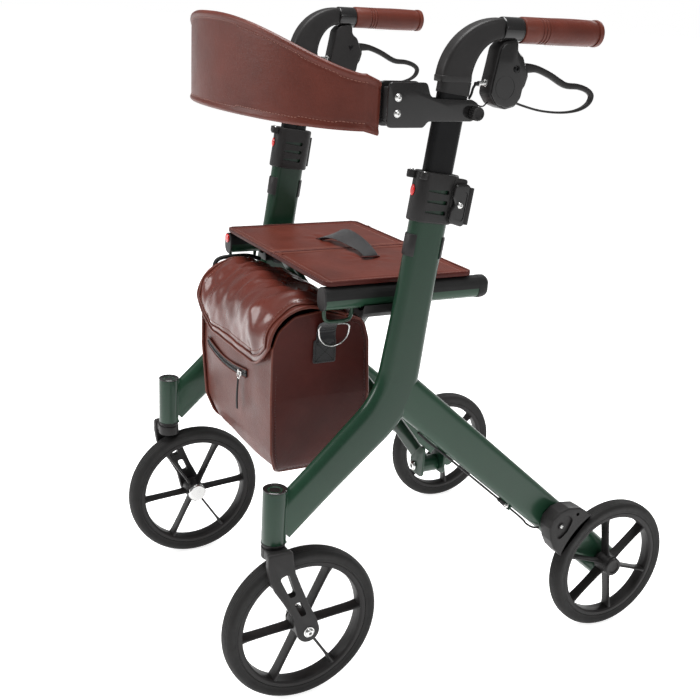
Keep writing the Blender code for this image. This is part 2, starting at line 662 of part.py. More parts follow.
def make_brace(name, sidestep):
    """Oval tube from the left lower pivot to under the right rail."""
    pivot, middle, top = brace_points(sidestep)
    start = pivot.lerp(middle, 0.02)
    end = middle.lerp(top, 0.89)
    along = (top - pivot).normalized()
    wide_dir = along.cross(Vector((0, 1, 0))).normalized()
    rings = []
    near_middle = [pivot.lerp(middle, 0.90), middle, middle.lerp(top, 0.10)]
    for k, point in enumerate(near_middle):
        near_middle[k] = Vector((point.x, middle.y, point.z))
    for point in (start, pivot.lerp(middle, 0.35), *near_middle, middle.lerp(top, 0.5), end):
        rings.append(oval(point, wide_dir, (0, 1, 0), BRACE_W, BRACE_T, 4))
    brace = loft(name, rings, GREEN)
    boss = cylinder("boss", (PIVOT_X, PIVOT_Y - 0.0155, PIVOT_Z), (PIVOT_X, PIVOT_Y + 0.0155, PIVOT_Z), 0.0125, GREEN)
    saddle = box("saddle", (-RAIL_X - 0.0090, BRACE_TOP_Y - 0.024, RAIL_Z - RAIL_H / 2 - 0.0140),
                 (-RAIL_X + 0.0240, BRACE_TOP_Y + 0.024, RAIL_Z - RAIL_H / 2 - GAP), GREEN, 0.002)
    union(brace, boss, saddle)
    pin_hole = cylinder("hole", (PIVOT_X, PIVOT_Y - 0.03, PIVOT_Z), (PIVOT_X, PIVOT_Y + 0.03, PIVOT_Z), 0.0045 + GAP,
                        GREEN, 20)
    bolt_hole = cylinder("hole", (0, middle.y - 0.02, middle.z), (0, middle.y + 0.02, middle.z), 0.0045 + GAP, GREEN,
                         20)
    return cut(brace, pin_hole, bolt_hole)


def make_braces():
    left = make_brace("left_brace", -BRACE_SIDESTEP)
    right = mirror_right(make_brace("left_other_brace", BRACE_SIDESTEP))
    bpy.data.objects.remove(bpy.data.objects["left_other_brace"], do_unlink=True)
    right.name = "right_brace"
    set_origin(left, (PIVOT_X, PIVOT_Y, PIVOT_Z))
    middle = brace_points(0)[1]
    set_origin(right, middle)
    head = BRACE_SIDESTEP + BRACE_T / 2 + GAP
    rings = []
    for offset, radius in ((-head - 0.004, 0.0070), (-head, 0.0080), (-head, 0.0045), (head, 0.0045),
                           (head, 0.0080), (head + 0.004, 0.0070)):
        rings.append(circle((0, middle.y + offset, middle.z), (1, 0, 0), (0, 0, 1), radius, 20))
    loft("brace_bolt", rings, STEEL)


def make_rail_rest():
    """Black arm on the inside of the upright; the open rail rests on its end."""
    inner = SIDE_X - TUBE_T / 2 - GAP
    outline = [(-0.1350, 0.5400), (-0.0950, 0.5350), (-0.0950, 0.5720), (-0.1200, 0.5720), (-0.1350, 0.5600)]
    arm = plate("left_rail_rest", outline, inner - 0.0080, inner, PLASTIC, 0.0012)
    finger = box("finger", (RAIL_X - 0.0060, -0.1200, 0.5560), (inner - 0.0005, -0.0960, RAIL_Z - RAIL_H / 2 - GAP),
                 PLASTIC, 0.0015)
    return union(arm, finger)


# ---------------------------------------------------------------- bag
def make_bag():
    """Open-topped leather bag with a rounded floor, hung between the rails."""
    def ring(z, half_x, front, back, inset):
        corner = 0.020
        points = []
        for cx, cy, start in ((half_x - corner, back - corner, 0), (-half_x + corner, back - corner, 1),
                              (-half_x + corner, front + corner, 2), (half_x - corner, front + corner, 3)):
            for k in range(4):
                angle = (start + k / 3) * pi / 2
                r = corner - inset
                points.append((cx + r * cos(angle), cy + r * sin(angle), z))
        return points

    levels = [(0.311, 0.118, -0.262, -0.150), (0.316, 0.128, -0.272, -0.140), (0.340, 0.136, -0.281, -0.132),
              (0.430, 0.140, -0.288, -0.132), (0.512, 0.140, -0.289, -0.138), (0.5370, 0.138, -0.284, -0.146)]
    outer = [ring(z, hx, f, b, 0.0) for z, hx, f, b in levels]
    wall = 0.0045
    inner = [ring(z, hx, f, b, wall) for z, hx, f, b in levels[1:]]
    inner[0] = [(x, y, levels[1][0] + wall * 0.5) for x, y, z in inner[0]]
    return loft("bag_body", outer + inner[::-1], LEATHER)


def make_bag_flap():
    """Soft lid over the bag's mouth and down its front."""
    section = [(-0.1515, 0.5490), (-0.1900, 0.5630), (-0.2300, 0.5690), (-0.2620, 0.5640), (-0.2850, 0.5470),
               (-0.2950, 0.5180), (-0.2950, 0.4730)]
    thick = 0.0045
    rows = [(-0.134, 0.010), (-0.09, 0.004), (0.0, 0.0), (0.09, 0.004), (0.134, 0.010)]
    rings = []
    for x, drop in rows:
        top = []
        low = []
        for i, (y, z) in enumerate(section):
            before = section[max(i - 1, 0)]
            after = section[min(i + 1, len(section) - 1)]
            d = Vector((after[0] - before[0], after[1] - before[1])).normalized()
            low.append((x, y, z - drop * (1 if i < 4 else 0.4)))
            top.append((x, y + d.y * thick, z - d.x * thick - drop * (1 if i < 4 else 0.4)))
        rings.append(low + top[::-1])
    return loft("bag_flap", rings, LEATHER)


# ---------------------------------------------------------------- wheels, forks, axles
def make_tyre(name, centre, radius, width):
    inner = radius - TYRE_DEPTH
    half = width / 2
    profile = [(-half * 0.86, inner), (-half, inner + 0.006), (-half * 0.98, radius - 0.006),
               (-half * 0.72, radius - 0.0012), (-half * 0.25, radius), (half * 0.25, radius),
               (half * 0.72, radius - 0.0012), (half * 0.98, radius - 0.006), (half, inner + 0.006),
               (half * 0.86, inner)]
    tyre = lathe_x(name, profile, centre, RUBBER)
    return set_origin(tyre, centre)


def make_rim(name, centre, radius, width, hub_inside, hub_outside, first_spoke, bore):
    outer = radius - TYRE_DEPTH - GAP
    inner = outer - RIM_DEPTH
    half = width * 0.43
    blade = width * 0.38
    ring = lathe_x(name, [(-half, inner + 0.001), (-half, outer), (half, outer), (half, inner + 0.001),
                          (half * 0.6, inner), (-half * 0.6, inner)], centre, PLASTIC)
    x0, y0, z0 = centre
    hub = cylinder("hub", (x0 - hub_inside, y0, z0), (x0 + hub_outside, y0, z0), 0.0165, PLASTIC, 28)
    spokes = []
    for k in range(SPOKES):
        spoke = box("spoke", (x0 - blade, -SPOKE_T / 2, 0.010), (x0 + blade, SPOKE_T / 2, inner + 0.003), PLASTIC)
        turn = Matrix.Rotation(pi / 2 - first_spoke - 2 * pi * k / SPOKES, 4, "X")
        place(spoke, Matrix.Translation((0, y0, z0)) @ turn)
        spokes.append(spoke)
    union(ring, hub, *spokes)
    hole = cylinder("hole", (x0 - 0.06, y0, z0), (x0 + 0.06, y0, z0), bore, PLASTIC, 24)
    cut(ring, hole)
    return set_origin(ring, centre)


def stepped_pin(name, centre, steps, mat, sides=24):
    """Turned pin along X from (x, radius) steps measured from the wheel's middle."""
    x0, y0, z0 = centre
    rings = [circle((x0 + x, y0, z0), (0, 1, 0), (0, 0, 1), r, sides) for x, r in steps]
    return loft(name, rings, mat)


def make_caster():
    axle_y = HEAD_Y + CASTER_TRAIL
    arm_in = SIDE_X + 0.0185
    arm_out = arm_in + 0.0120
    lobe = [(axle_y + 0.0175 * cos(a), FRONT_R + 0.0175 * sin(a)) for a in [radians(15 - 30 * k) for k in range(7)]]
    outline = [(-0.3010, 0.2560), (-0.2980, 0.2280), (-0.2760, 0.1740)] + lobe + [
        (-0.3080, 0.1680), (-0.3330, 0.2100), (-0.3380, 0.2400), (-0.3380, 0.2560)]
    arm = plate("left_caster_fork", outline, arm_in, arm_out, PLASTIC, 0.0015)
    crown = cylinder("crown", (SIDE_X, HEAD_Y, 0.2385), (SIDE_X, HEAD_Y, HEAD_BOTTOM - GAP), HEAD_R, PLASTIC, 32)
    bridge = box("bridge", (SIDE_X, HEAD_Y - 0.0150, 0.2395), (arm_out - 0.003, HEAD_Y + 0.0150, 0.2540), PLASTIC)
    stem = cylinder("stem", (SIDE_X, HEAD_Y, 0.2450), (SIDE_X, HEAD_Y, HEAD_TOP - 0.008), STEM_R, STEEL, 24)
    union(arm, crown, bridge, stem)
    upper = plate("hole", [(-0.3200, 0.2160), (-0.3080, 0.2200), (-0.2950, 0.1830), (-0.3040, 0.1830)],
                  arm_in - 0.01, arm_out + 0.01, PLASTIC)
    lower = plate("hole", [(-0.2970, 0.1700), (-0.2870, 0.1720), (-0.2770, 0.1500), (-0.2850, 0.1480)],
                  arm_in - 0.01, arm_out + 0.01, PLASTIC)
    bolt = cylinder("hole", (arm_in - 0.01, axle_y, FRONT_R), (arm_out + 0.01, axle_y, FRONT_R), 0.0050 + GAP, PLASTIC,
                    24)
    cut(arm, upper, lower, bolt)
    set_origin(arm, (SIDE_X, HEAD_Y, HEAD_BOTTOM))
    centre = (SIDE_X, axle_y, FRONT_R)
    stepped_pin("left_front_axle", centre,
                [(-0.0225, 0.0140), (-0.0205, 0.0160), (-0.0173, 0.0160), (-0.0173, 0.0050), (0.0308, 0.0050),
                 (0.0308, 0.0075), (0.0340, 0.0070)], STEEL)
    make_tyre("left_front_tyre", centre, FRONT_R, FRONT_TYRE_W)
    make_rim("left_front_rim", centre, FRONT_R, FRONT_TYRE_W, 0.0170, 0.0180, radians(-4), 0.0050 + GAP)


def make_rear_wheel():
    centre = (REAR_X, *AXLE_REAR)
    leg_in = SIDE_X - TUBE_T / 2 - REAR_X
    stepped_pin("left_rear_axle", centre,
                [(leg_in - 0.0055, 0.0090), (leg_in - GAP, 0.0100), (leg_in - GAP, 0.0060), (0.0163, 0.0060),
                 (0.0163, 0.0150), (0.0190, 0.0150), (0.0205, 0.0130)], PLASTIC)
    make_tyre("left_rear_tyre", centre, REAR_R, REAR_TYRE_W)
    make_rim("left_rear_rim", centre, REAR_R, REAR_TYRE_W, 0.0125, 0.0160, radians(20), 0.0060 + GAP)


def arc_points(radius, first, last, steps):
    y0, z0 = AXLE_REAR
    return [(y0 + radius * cos(radians(first + (last - first) * k / steps)),
             z0 + radius * sin(radians(first + (last - first) * k / steps))) for k in range(steps + 1)]


def make_rear_brake():
    """Housing in front of the rear tyre on the leg's outer face, open toward the tyre for the shoe."""
    leg_out = SIDE_X + TUBE_T / 2 + GAP
    outline = arc_points(REAR_R + 0.0045, 160, 118, 8) + [
        (0.2000, 0.2330), (0.1740, 0.2380), (0.1480, 0.2280), (0.1400, 0.2120), (0.1480, 0.1780), (0.1640, 0.1560)]
    body = plate("left_rear_brake", outline, leg_out, 0.2735, PLASTIC, 0.0015)
    pocket_outline = arc_points(REAR_R - 0.004, 156, 124, 6) + arc_points(REAR_R + 0.0115, 124, 156, 6)
    pocket = plate("pocket", pocket_outline, 0.2485, 0.2722, PLASTIC)
    return cut(body, pocket)


def make_brake_shoe():
    outline = arc_points(REAR_R + 0.0012, 154, 126, 6) + arc_points(REAR_R + 0.0090, 126, 154, 6)
    shoe = plate("left_brake_shoe", outline, 0.2495, 0.2712, RUBBER, 0.0005)
    middle = arc_points(REAR_R + 0.005, 140, 140, 1)[0]
    return set_origin(shoe, (REAR_X, *middle))


def under_leg(y, drop):
    """A point under the rear leg at a distance y along, drop below its lower face."""
    start = Vector(REAR_LEG_START)
    axle = Vector(AXLE_REAR)
    along = (axle - start).normalized()
    down = Vector((along.y, -along.x))
    point = start.lerp(axle, (y - start.x) / (axle.x - start.x)) + down * (TUBE_W / 2 + drop)
    return (SIDE_X, point.x, point.y)


def make_lower_cable():
    """Brake cable along the rear leg's underside, with a loop into the brake housing."""
    route = [under_leg(-0.075, 0.0020), under_leg(-0.055, 0.0030), under_leg(-0.020, 0.0026), under_leg(0.060, 0.0026),
             under_leg(0.130, 0.0030)]
    last = Vector(route[-1])
    route += [last + Vector((0.003, 0.012, -0.013)), last + Vector((0.008, 0.022, -0.019)),
              last + Vector((0.014, 0.0300, -0.0180))]
    return tube("left_lower_cable", smooth_route(route, 5), 0.0016, CABLE)


# ---------------------------------------------------------------- build
left_pieces = [
    make_frame, make_height_tube, make_elbow, make_grip, make_brake_housing, make_brake_lever, make_upper_cable,
    make_height_clamp, make_clamp_lever, make_back_bracket, make_knob, make_back_strap, make_rail, make_seat_panel,
    make_rail_rest, make_caster, make_rear_wheel, make_rear_brake, make_brake_shoe, make_lower_cable,
]
for make in left_pieces:
    make()
for piece in [p for p in bpy.data.objects if p.name.startswith("left_")]:
    mirror_right(piece)
make_braces()
make_lift_strap()
make_bag()
make_bag_flap()
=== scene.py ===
"""Looks of the rollator walker: camera, light, materials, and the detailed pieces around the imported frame.

Units are metres, +Z is up, the walker rolls toward -Y, and the user stands on the +Y side.
A paired piece is made on the left (+X) and mirrored to the right.
"""
from math import atan2, cos, exp, pi, radians, sin, sqrt

import bmesh
import bpy
from mathutils import Matrix, Vector, noise
from mathutils.bvhtree import BVHTree


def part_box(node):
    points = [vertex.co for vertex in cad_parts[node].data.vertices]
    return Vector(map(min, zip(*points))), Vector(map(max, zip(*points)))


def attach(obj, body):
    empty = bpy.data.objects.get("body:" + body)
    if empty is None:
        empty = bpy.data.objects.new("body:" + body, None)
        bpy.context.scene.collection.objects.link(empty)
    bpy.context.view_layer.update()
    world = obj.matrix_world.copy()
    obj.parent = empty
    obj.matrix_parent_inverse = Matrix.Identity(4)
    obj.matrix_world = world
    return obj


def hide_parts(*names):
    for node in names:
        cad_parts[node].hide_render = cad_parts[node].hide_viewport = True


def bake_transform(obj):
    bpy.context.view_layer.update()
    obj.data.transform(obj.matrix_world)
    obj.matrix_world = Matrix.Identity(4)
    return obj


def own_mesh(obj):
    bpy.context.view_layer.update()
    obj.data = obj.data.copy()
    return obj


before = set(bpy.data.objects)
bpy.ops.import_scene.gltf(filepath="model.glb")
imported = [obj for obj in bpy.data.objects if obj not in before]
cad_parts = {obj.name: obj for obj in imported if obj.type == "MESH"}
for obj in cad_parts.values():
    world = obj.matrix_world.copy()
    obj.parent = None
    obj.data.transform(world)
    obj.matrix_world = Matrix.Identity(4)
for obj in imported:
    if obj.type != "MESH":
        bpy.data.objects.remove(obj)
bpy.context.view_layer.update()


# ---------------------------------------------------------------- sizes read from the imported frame
def middle_of(node):
    """Middle of a frame node's box."""
    low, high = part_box(node)
    return (low + high) / 2


FRONT_AXLE = middle_of("left_front_tyre")
REAR_AXLE = middle_of("left_rear_tyre")
FRONT_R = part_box("left_front_tyre")[1].z - FRONT_AXLE.z
REAR_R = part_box("left_rear_tyre")[1].z - REAR_AXLE.z
FRONT_TYRE_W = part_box("left_front_tyre")[1].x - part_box("left_front_tyre")[0].x
REAR_TYRE_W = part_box("left_rear_tyre")[1].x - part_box("left_rear_tyre")[0].x
SIDE_X = FRONT_AXLE.x                      # middle plane of the left side frame
GRIP_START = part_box("left_grip")[0].y
GRIP_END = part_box("left_grip")[1].y
GRIP_R = 0.0172
HANDLE_X = middle_of("left_grip").x
GRIP_Z = middle_of("left_grip").z
RAIL_X = middle_of("left_seat_rail").x
RAIL_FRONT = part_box("left_seat_rail")[0].y
RAIL_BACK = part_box("left_seat_rail")[1].y
RAIL_Z = 0.589
RAIL_W = 0.026
RAIL_H = 0.034
SEAT_LOW, SEAT_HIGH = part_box("left_seat_panel")
SEAT_TOP = SEAT_HIGH.z
CROSSING = middle_of("brace_bolt")

# ---------------------------------------------------------------- sizes that the frame's boxes don't give
GAP = 0.0003                               # clearance where two pieces touch
TUBE_W = 0.057                             # frame tube, wide and thin side
TUBE_T = 0.026
INNER_W = 0.0455                           # height tube, wide and thin side
INNER_T = 0.018
UPRIGHT_Y = -0.1075                        # upright centre line at UPRIGHT_Z
UPRIGHT_Z = 0.695
UPRIGHT_LEAN = 0.132                       # metres back per metre up
UPRIGHT_TOP = 0.061                        # heights along the upright, above UPRIGHT_Z
BORE_BOTTOM = -0.205
HEIGHT_TUBE_LOW = -0.14
HEIGHT_TUBE_TOP = 0.186
SOCKET_LOW = 0.1775
SOCKET_TOP = 0.196
CLIP_AT = 0.015                            # middle of the tube's round edge, across its wide side
CLIP_R = 0.0148                            # clips on that round edge: outside and inside
CLIP_BORE = 0.0129
CLIP_TURN = 65                             # degrees that a clip wraps to either side
CORNER = Vector((0, -0.1405, 0.4453))
FRONT_LEG_END = Vector((0, -0.315, 0.2845))
REAR_LEG_START = Vector((0, -0.128, 0.4597))
BEND_RADIUS = 0.135
HEAD_Y = -0.319
HEAD_R = 0.017
HEAD_BOTTOM = 0.2575
HEAD_TOP = 0.341
STEM_HOLE = 0.0081
STEM_R = 0.0075
LUG_T = 0.0035
PIVOT = Vector((0.205, -0.06, 0.325))
BRACE_TOP_Y = -0.15
BRACE_W = 0.026
BRACE_T = 0.013
BRACE_SIDESTEP = 0.009                     # each brace clears the other by this at the crossing
ELBOW_CENTRE = (-0.0225, 0.8885)           # the elbow lies between two quarter ellipses (y, z)
ELBOW_OUTER = (0.086, 0.081)
ELBOW_INNER = (0.0395, 0.053)
ELBOW_T = 0.027
ELBOW_LOW = 0.8872
ELBOW_END_Y = -0.02
BAR_R = 0.011
COLLAR_BORE = 0.0113
LEVER_PIVOT = (0.001, 0.906)
LEVER_HALF = 0.0045
BRACKET_BOLT = (-0.0565, 0.848)
BRACKET_REACH = INNER_T / 2 + GAP          # inner faces of the bracket's plates, from the side plane
BRACKET_T = 0.004
BRACKET_SCREW_Y = -0.173
KNOB_RIBS = 20
STRAP_PIVOT_Y = -0.188
STRAP_BULGE = 0.15                         # how far the strap bows forward of its ends
STRAP_END_Y = -0.192
STRAP_HEM = 0.0095
SEAT_HEM = 0.0105
STRAP_SLOT_X = 0.066                       # slots of the lift strap
LIFT_SLANT = 0.1
LIFT_MIDDLE_Y = -0.105
CLOTH_FRAMES = 20
SEAT_STITCH = (0.0046, 0.0033, 0.00042)    # stitch spacing, length and radius
STITCH = (0.005, 0.0036, 0.00045)
CREASE_THREAD_X = 0.0085
THREAD_LIFT = 0.00015
TYRE_DEPTH = 0.018                         # tyre and rim ring, radially
RIM_DEPTH = 0.009
SPOKES = 6
SPOKE_T = 0.0042
FLOOR_HALF = 60
SHARP = 38                                 # degrees past which an edge stays sharp

AXIS_UP = Vector((0, UPRIGHT_LEAN, 1)).normalized()
AXIS_BACK = Vector((0, 1, -UPRIGHT_LEAN)).normalized()
UPRIGHT = Matrix((
    (1, 0, 0, SIDE_X),
    (0, AXIS_BACK.y, AXIS_UP.y, UPRIGHT_Y),
    (0, AXIS_BACK.z, AXIS_UP.z, UPRIGHT_Z),
    (0, 0, 0, 1),
))
X, Y, Z = Vector((1, 0, 0)), Vector((0, 1, 0)), Vector((0, 0, 1))
# a quarter turn that takes X to Y
ACROSS_TO_ALONG = Matrix(((0, -1, 0, 0), (1, 0, 0, 0), (0, 0, 1, 0), (0, 0, 0, 1)))


# ---------------------------------------------------------------- camera, light, floor
def make_camera():
    """The photo's viewpoint: azimuth, elevation and roll of the solved view."""
    azimuth, elevation, roll = radians(61.61), radians(18.4), radians(3.25)
    back = Vector((sin(azimuth) * cos(elevation), -cos(azimuth) * cos(elevation), sin(elevation)))
    right = Vector((cos(azimuth), sin(azimuth), 0))
    up = back.cross(right)
    rolled_right = right * cos(roll) + up * sin(roll)
    rolled_up = up * cos(roll) - right * sin(roll)
    data = bpy.data.cameras.new("camera")
    data.sensor_width = 36
    data.lens = 53.205
    data.clip_start = 0.05
    camera = new_object("camera", data)
    turn = Matrix((rolled_right, rolled_up, back)).transposed().to_4x4()
    camera.matrix_world = Matrix.Translation((1.405, -0.8484, 0.9741)) @ turn
    bpy.context.scene.camera = camera


def area_light(name, at, target, size, energy):
    """A round soft light at a place, facing a target."""
    data = bpy.data.lights.new(name, "AREA")
    data.shape = "DISK"
    data.size = size
    data.energy = energy
    at = Vector(at)
    turn = (Vector(target) - at).to_track_quat("-Z", "Y").to_matrix().to_4x4()
    new_object(name, data).matrix_world = Matrix.Translation(at) @ turn


def make_studio():
    """White backdrop, even ambient light, four soft lights and a pale floor."""
    bpy.context.scene.view_settings.view_transform = "Standard"
    world = bpy.data.worlds.new("studio")
    world.use_nodes = True
    tree, add = node_maker(world)
    ambient = tree.nodes["Background"]
    ambient.inputs["Color"].default_value = (1.0, 1.0, 1.0, 1.0)
    ambient.inputs["Strength"].default_value = 0.24
    backdrop = add("ShaderNodeBackground", Color=(1.0, 1.0, 1.0, 1.0), Strength=1.0)
    seen = add("ShaderNodeLightPath").outputs["Is Camera Ray"]
    choice = add("ShaderNodeMixShader", Fac=seen)
    tree.links.new(ambient.outputs[0], choice.inputs[1])
    tree.links.new(backdrop.outputs[0], choice.inputs[2])
    tree.links.new(choice.outputs[0], tree.nodes["World Output"].inputs["Surface"])
    bpy.context.scene.world = world
    middle = (0, 0, 0.5)
    area_light("top_softbox", (-0.1, -0.3, 2.7), middle, 1.6, 78)
    area_light("front_softbox", (-1.0, -2.4, 1.6), middle, 1.2, 30)
    area_light("near_softbox", (2.6, 0.6, 1.9), middle, 1.0, 14)
    area_light("rear_softbox", (-0.9, 2.2, 1.5), middle, 1.2, 22)
    mesh = bpy.data.meshes.new("floor")
    corners = [(-FLOOR_HALF, -FLOOR_HALF, 0), (FLOOR_HALF, -FLOOR_HALF, 0), (FLOOR_HALF, FLOOR_HALF, 0),
               (-FLOOR_HALF, FLOOR_HALF, 0)]
    mesh.from_pydata(corners, [], [(0, 1, 2, 3)])
    mesh.materials.append(FLOOR)
    floor = new_object("floor", mesh)


# ---------------------------------------------------------------- materials
def node_maker(material):
    """The node tree, and a function that adds a node with its inputs set or linked."""
    tree = material.node_tree

    def add(kind, **inputs):
        node = tree.nodes.new(kind)
        for key, value in inputs.items():
            slot = node.inputs[key.replace("_", " ")]
            if hasattr(value, "is_output"):
                tree.links.new(value, slot)
            else:
                slot.default_value = value
        return node
    return tree, add


def mottle(add, where, colour, variation, scale):
    """The base colour, wandering between a darker and a lighter shade."""
    cloud = add("ShaderNodeTexNoise", Vector=where, Scale=scale, Detail=6.0, Roughness=0.6)
    ramp = add("ShaderNodeValToRGB", Fac=cloud.outputs["Fac"])
    for stop, position, way in zip(ramp.color_ramp.elements, (0.3, 0.7), (-1, 1)):
        stop.position = position
        stop.color = (*(min(c * (1 + way * variation), 1.0) for c in colour), 1)
    return ramp.outputs["Color"]


def edge_wear_and_highlight(add, base, colour, amount):
    """The base colour, blended toward a lighter one where the surface turns sharply outward: partly edge
    wear and partly a painted highlight.
    """
    shape = add("ShaderNodeNewGeometry").outputs["Pointiness"]
    mask = add("ShaderNodeMapRange", Value=shape, From_Min=0.515, From_Max=0.62, To_Max=amount)
    mix = add("ShaderNodeMix")
    mix.data_type = "RGBA"
    links = mix.id_data.links
    links.new(mask.outputs["Result"], mix.inputs["Factor"])
    links.new(base, mix.inputs[6])
    mix.inputs[7].default_value = (*colour, 1)
    return mix.outputs[2]


def bumps(add, where, grain):
    """Layers of bump, each (texture, scale, height in metres), one upon the other."""
    normal = None
    for texture, scale, height in grain:
        if texture == "cells":
            source = add("ShaderNodeTexVoronoi", Vector=where, Scale=scale)
            source.feature = "DISTANCE_TO_EDGE"
            value = source.outputs["Distance"]
        elif texture == "weave":
            value = weave(add, where, scale)
        elif texture == "bands":
            value = add("ShaderNodeTexWave", Vector=where, Scale=scale, Distortion=1.5).outputs["Fac"]
        else:
            value = add("ShaderNodeTexNoise", Vector=where, Scale=scale, Detail=8.0,
                        Roughness=0.6).outputs["Fac"]
        bump = add("ShaderNodeBump", Height=value, Distance=height)
        if normal:
            bump.id_data.links.new(normal, bump.inputs["Normal"])
        normal = bump.outputs["Normal"]
    return normal


def surface(name, colour, roughness, metallic=0.0, coat=0.0, coat_rough=0.1, sheen=0.0, variation=0.15,
            variation_scale=20.0, rough_variation=0.08, grain=(), edge=None, specular=0.2):
    """A procedural material; grain is what bumps() takes, and edge is (colour, amount) of its lighter convex
    edges, partly wear and partly painted highlight.
    """
    made = bpy.data.materials.new(name)
    made.use_nodes = True
    tree, add = node_maker(made)
    shader = tree.nodes["Principled BSDF"]
    for socket, value in (("Metallic", metallic), ("Coat Weight", coat), ("Coat Roughness", coat_rough),
                          ("Sheen Weight", sheen), ("Specular IOR Level", specular)):
        shader.inputs[socket].default_value = value
    where = add("ShaderNodeTexCoord").outputs["Object"]
    base = mottle(add, where, colour, variation, variation_scale)
    if edge:
        base = edge_wear_and_highlight(add, base, *edge)
    tree.links.new(base, shader.inputs["Base Color"])
    smudge = add("ShaderNodeTexNoise", Vector=where, Scale=variation_scale * 2.3, Detail=4.0)
    spread = add("ShaderNodeMapRange", Value=smudge.outputs["Fac"],
                 To_Min=max(roughness - rough_variation, 0.02),
                 To_Max=min(roughness + rough_variation, 1.0))
    tree.links.new(spread.outputs["Result"], shader.inputs["Roughness"])
    if grain:
        tree.links.new(bumps(add, where, grain), shader.inputs["Normal"])
    made.diffuse_color = (*colour, 1)
    return made


def weave(add, where, scale):
    """Crossed threads: two sets of ribs multiplied."""
    ribs = []
    for direction in ("X", "Y"):
        rib = add("ShaderNodeTexWave", Vector=where, Scale=scale)
        rib.bands_direction = direction
        ribs.append(rib.outputs["Fac"])
    both = add("ShaderNodeMath")
    both.operation = "MULTIPLY"
    both.id_data.links.new(ribs[0], both.inputs[0])
    both.id_data.links.new(ribs[1], both.inputs[1])
    return both.outputs[0]


# Edge colours lighter than the base are painted highlights on convex edges, partly edge wear.
GREEN = surface("green_paint", (0.007, 0.03, 0.0155), 0.34, coat=0.3, coat_rough=0.14, variation=0.06,
                grain=[("noise", 900, 0.00006)], edge=((0.03, 0.09, 0.05), 0.35))
BLACK_TUBE = surface("black_anodised", (0.013, 0.013, 0.0135), 0.36, metallic=0.75, variation=0.12,
                     grain=[("noise", 1500, 0.00004)])
PLASTIC = surface("black_plastic", (0.0165, 0.0155, 0.0155), 0.44, variation=0.12, variation_scale=40,
                  grain=[("noise", 1400, 0.00012)], edge=((0.05, 0.05, 0.05), 0.3))
GLOSS = surface("gloss_plastic", (0.012, 0.0115, 0.0115), 0.22, coat=0.5, variation=0.1,
                grain=[("noise", 700, 0.00003)])
# The leathers' lighter edge colour is a painted highlight on convex edges, partly edge wear.
HIDE = {"variation": 0.2, "variation_scale": 14, "rough_variation": 0.1,
        "edge": ((0.24, 0.075, 0.05), 0.35)}
LEATHER = surface("brown_leather", (0.088, 0.019, 0.012), 0.36, coat=0.06, coat_rough=0.3, **HIDE,
                  grain=[("cells", 620, 0.00022), ("noise", 180, 0.00045), ("noise", 1500, 0.0001)])
GLAZED = surface("glazed_leather", (0.096, 0.019, 0.012), 0.3, coat=0.55, coat_rough=0.18, **HIDE,
                 grain=[("cells", 620, 0.00018), ("noise", 180, 0.00045), ("noise", 1500, 0.00008)])
# The brown leather darkened as painted shade, for the bag's end panels, the seat binding and the slot rims.
SHADED_LEATHER = surface("shaded_leather", (0.052, 0.0065, 0.004), 0.47, variation=0.18, variation_scale=14,
                 grain=[("cells", 620, 0.0002), ("noise", 180, 0.00035)])
TYRE = surface("tyre_rubber", (0.0135, 0.013, 0.0128), 0.62, variation=0.16, variation_scale=60,
               rough_variation=0.12, grain=[("noise", 900, 0.00018)], edge=((0.035, 0.034, 0.033), 0.4))
RUBBER = surface("black_rubber", (0.012, 0.012, 0.012), 0.58, variation=0.12,
                 grain=[("noise", 1100, 0.00014)])
STEEL = surface("bright_steel", (0.62, 0.62, 0.61), 0.24, metallic=1.0, variation=0.06,
                grain=[("noise", 1600, 0.00004)])
CABLE = surface("cable_sheath", (0.01, 0.01, 0.01), 0.38, variation=0.1, grain=[("bands", 900, 0.00008)])
WEBBING = surface("black_webbing", (0.011, 0.011, 0.012), 0.78, sheen=0.25, variation=0.2,
                  variation_scale=90, grain=[("weave", 420, 0.0005), ("noise", 1200, 0.0002)])
THREAD = surface("brown_thread", (0.25, 0.095, 0.065), 0.6, sheen=0.3, variation=0.15,
                 grain=[("bands", 1500, 0.0001)])
# The brown thread darkened as painted shade, for the stitches on the bag's end panels.
DARK_THREAD = surface("dark_thread", (0.045, 0.01, 0.007), 0.6, sheen=0.3, variation=0.15,
                      grain=[("bands", 1500, 0.0001)])
REFLECTOR = surface("red_reflector", (0.6, 0.01, 0.01), 0.16, coat=1.0, coat_rough=0.05, variation=0.1,
                    grain=[("cells", 500, 0.0004)])
FLOOR = surface("studio_floor", (0.9, 0.9, 0.9), 0.6, variation=0.005, specular=0.2)
FLOOR_SHADER = FLOOR.node_tree.nodes["Principled BSDF"]
FLOOR_SHADER.inputs["Emission Color"].default_value = (1.0, 1.0, 1.0, 1.0)
FLOOR_SHADER.inputs["Emission Strength"].default_value = 0.8


# ---------------------------------------------------------------- mesh helpers
def new_object(name, data):
    made = bpy.data.objects.new(name, data)
    bpy.context.scene.collection.objects.link(made)
    return made


def finish_mesh(name, bm, mat, sharp=SHARP):
    """Turn a bmesh into an object: clean, smooth shaded, with sharp edges kept."""
    bmesh.ops.remove_doubles(bm, verts=bm.verts, dist=1e-6)
    bmesh.ops.recalc_face_normals(bm, faces=bm.faces)
    mesh = bpy.data.meshes.new(name)
    bm.to_mesh(mesh)
    bm.free()
    mesh.materials.append(mat)
    mesh.shade_smooth()
    mesh.set_sharp_from_angle(angle=radians(sharp))
    return new_object(name, mesh)


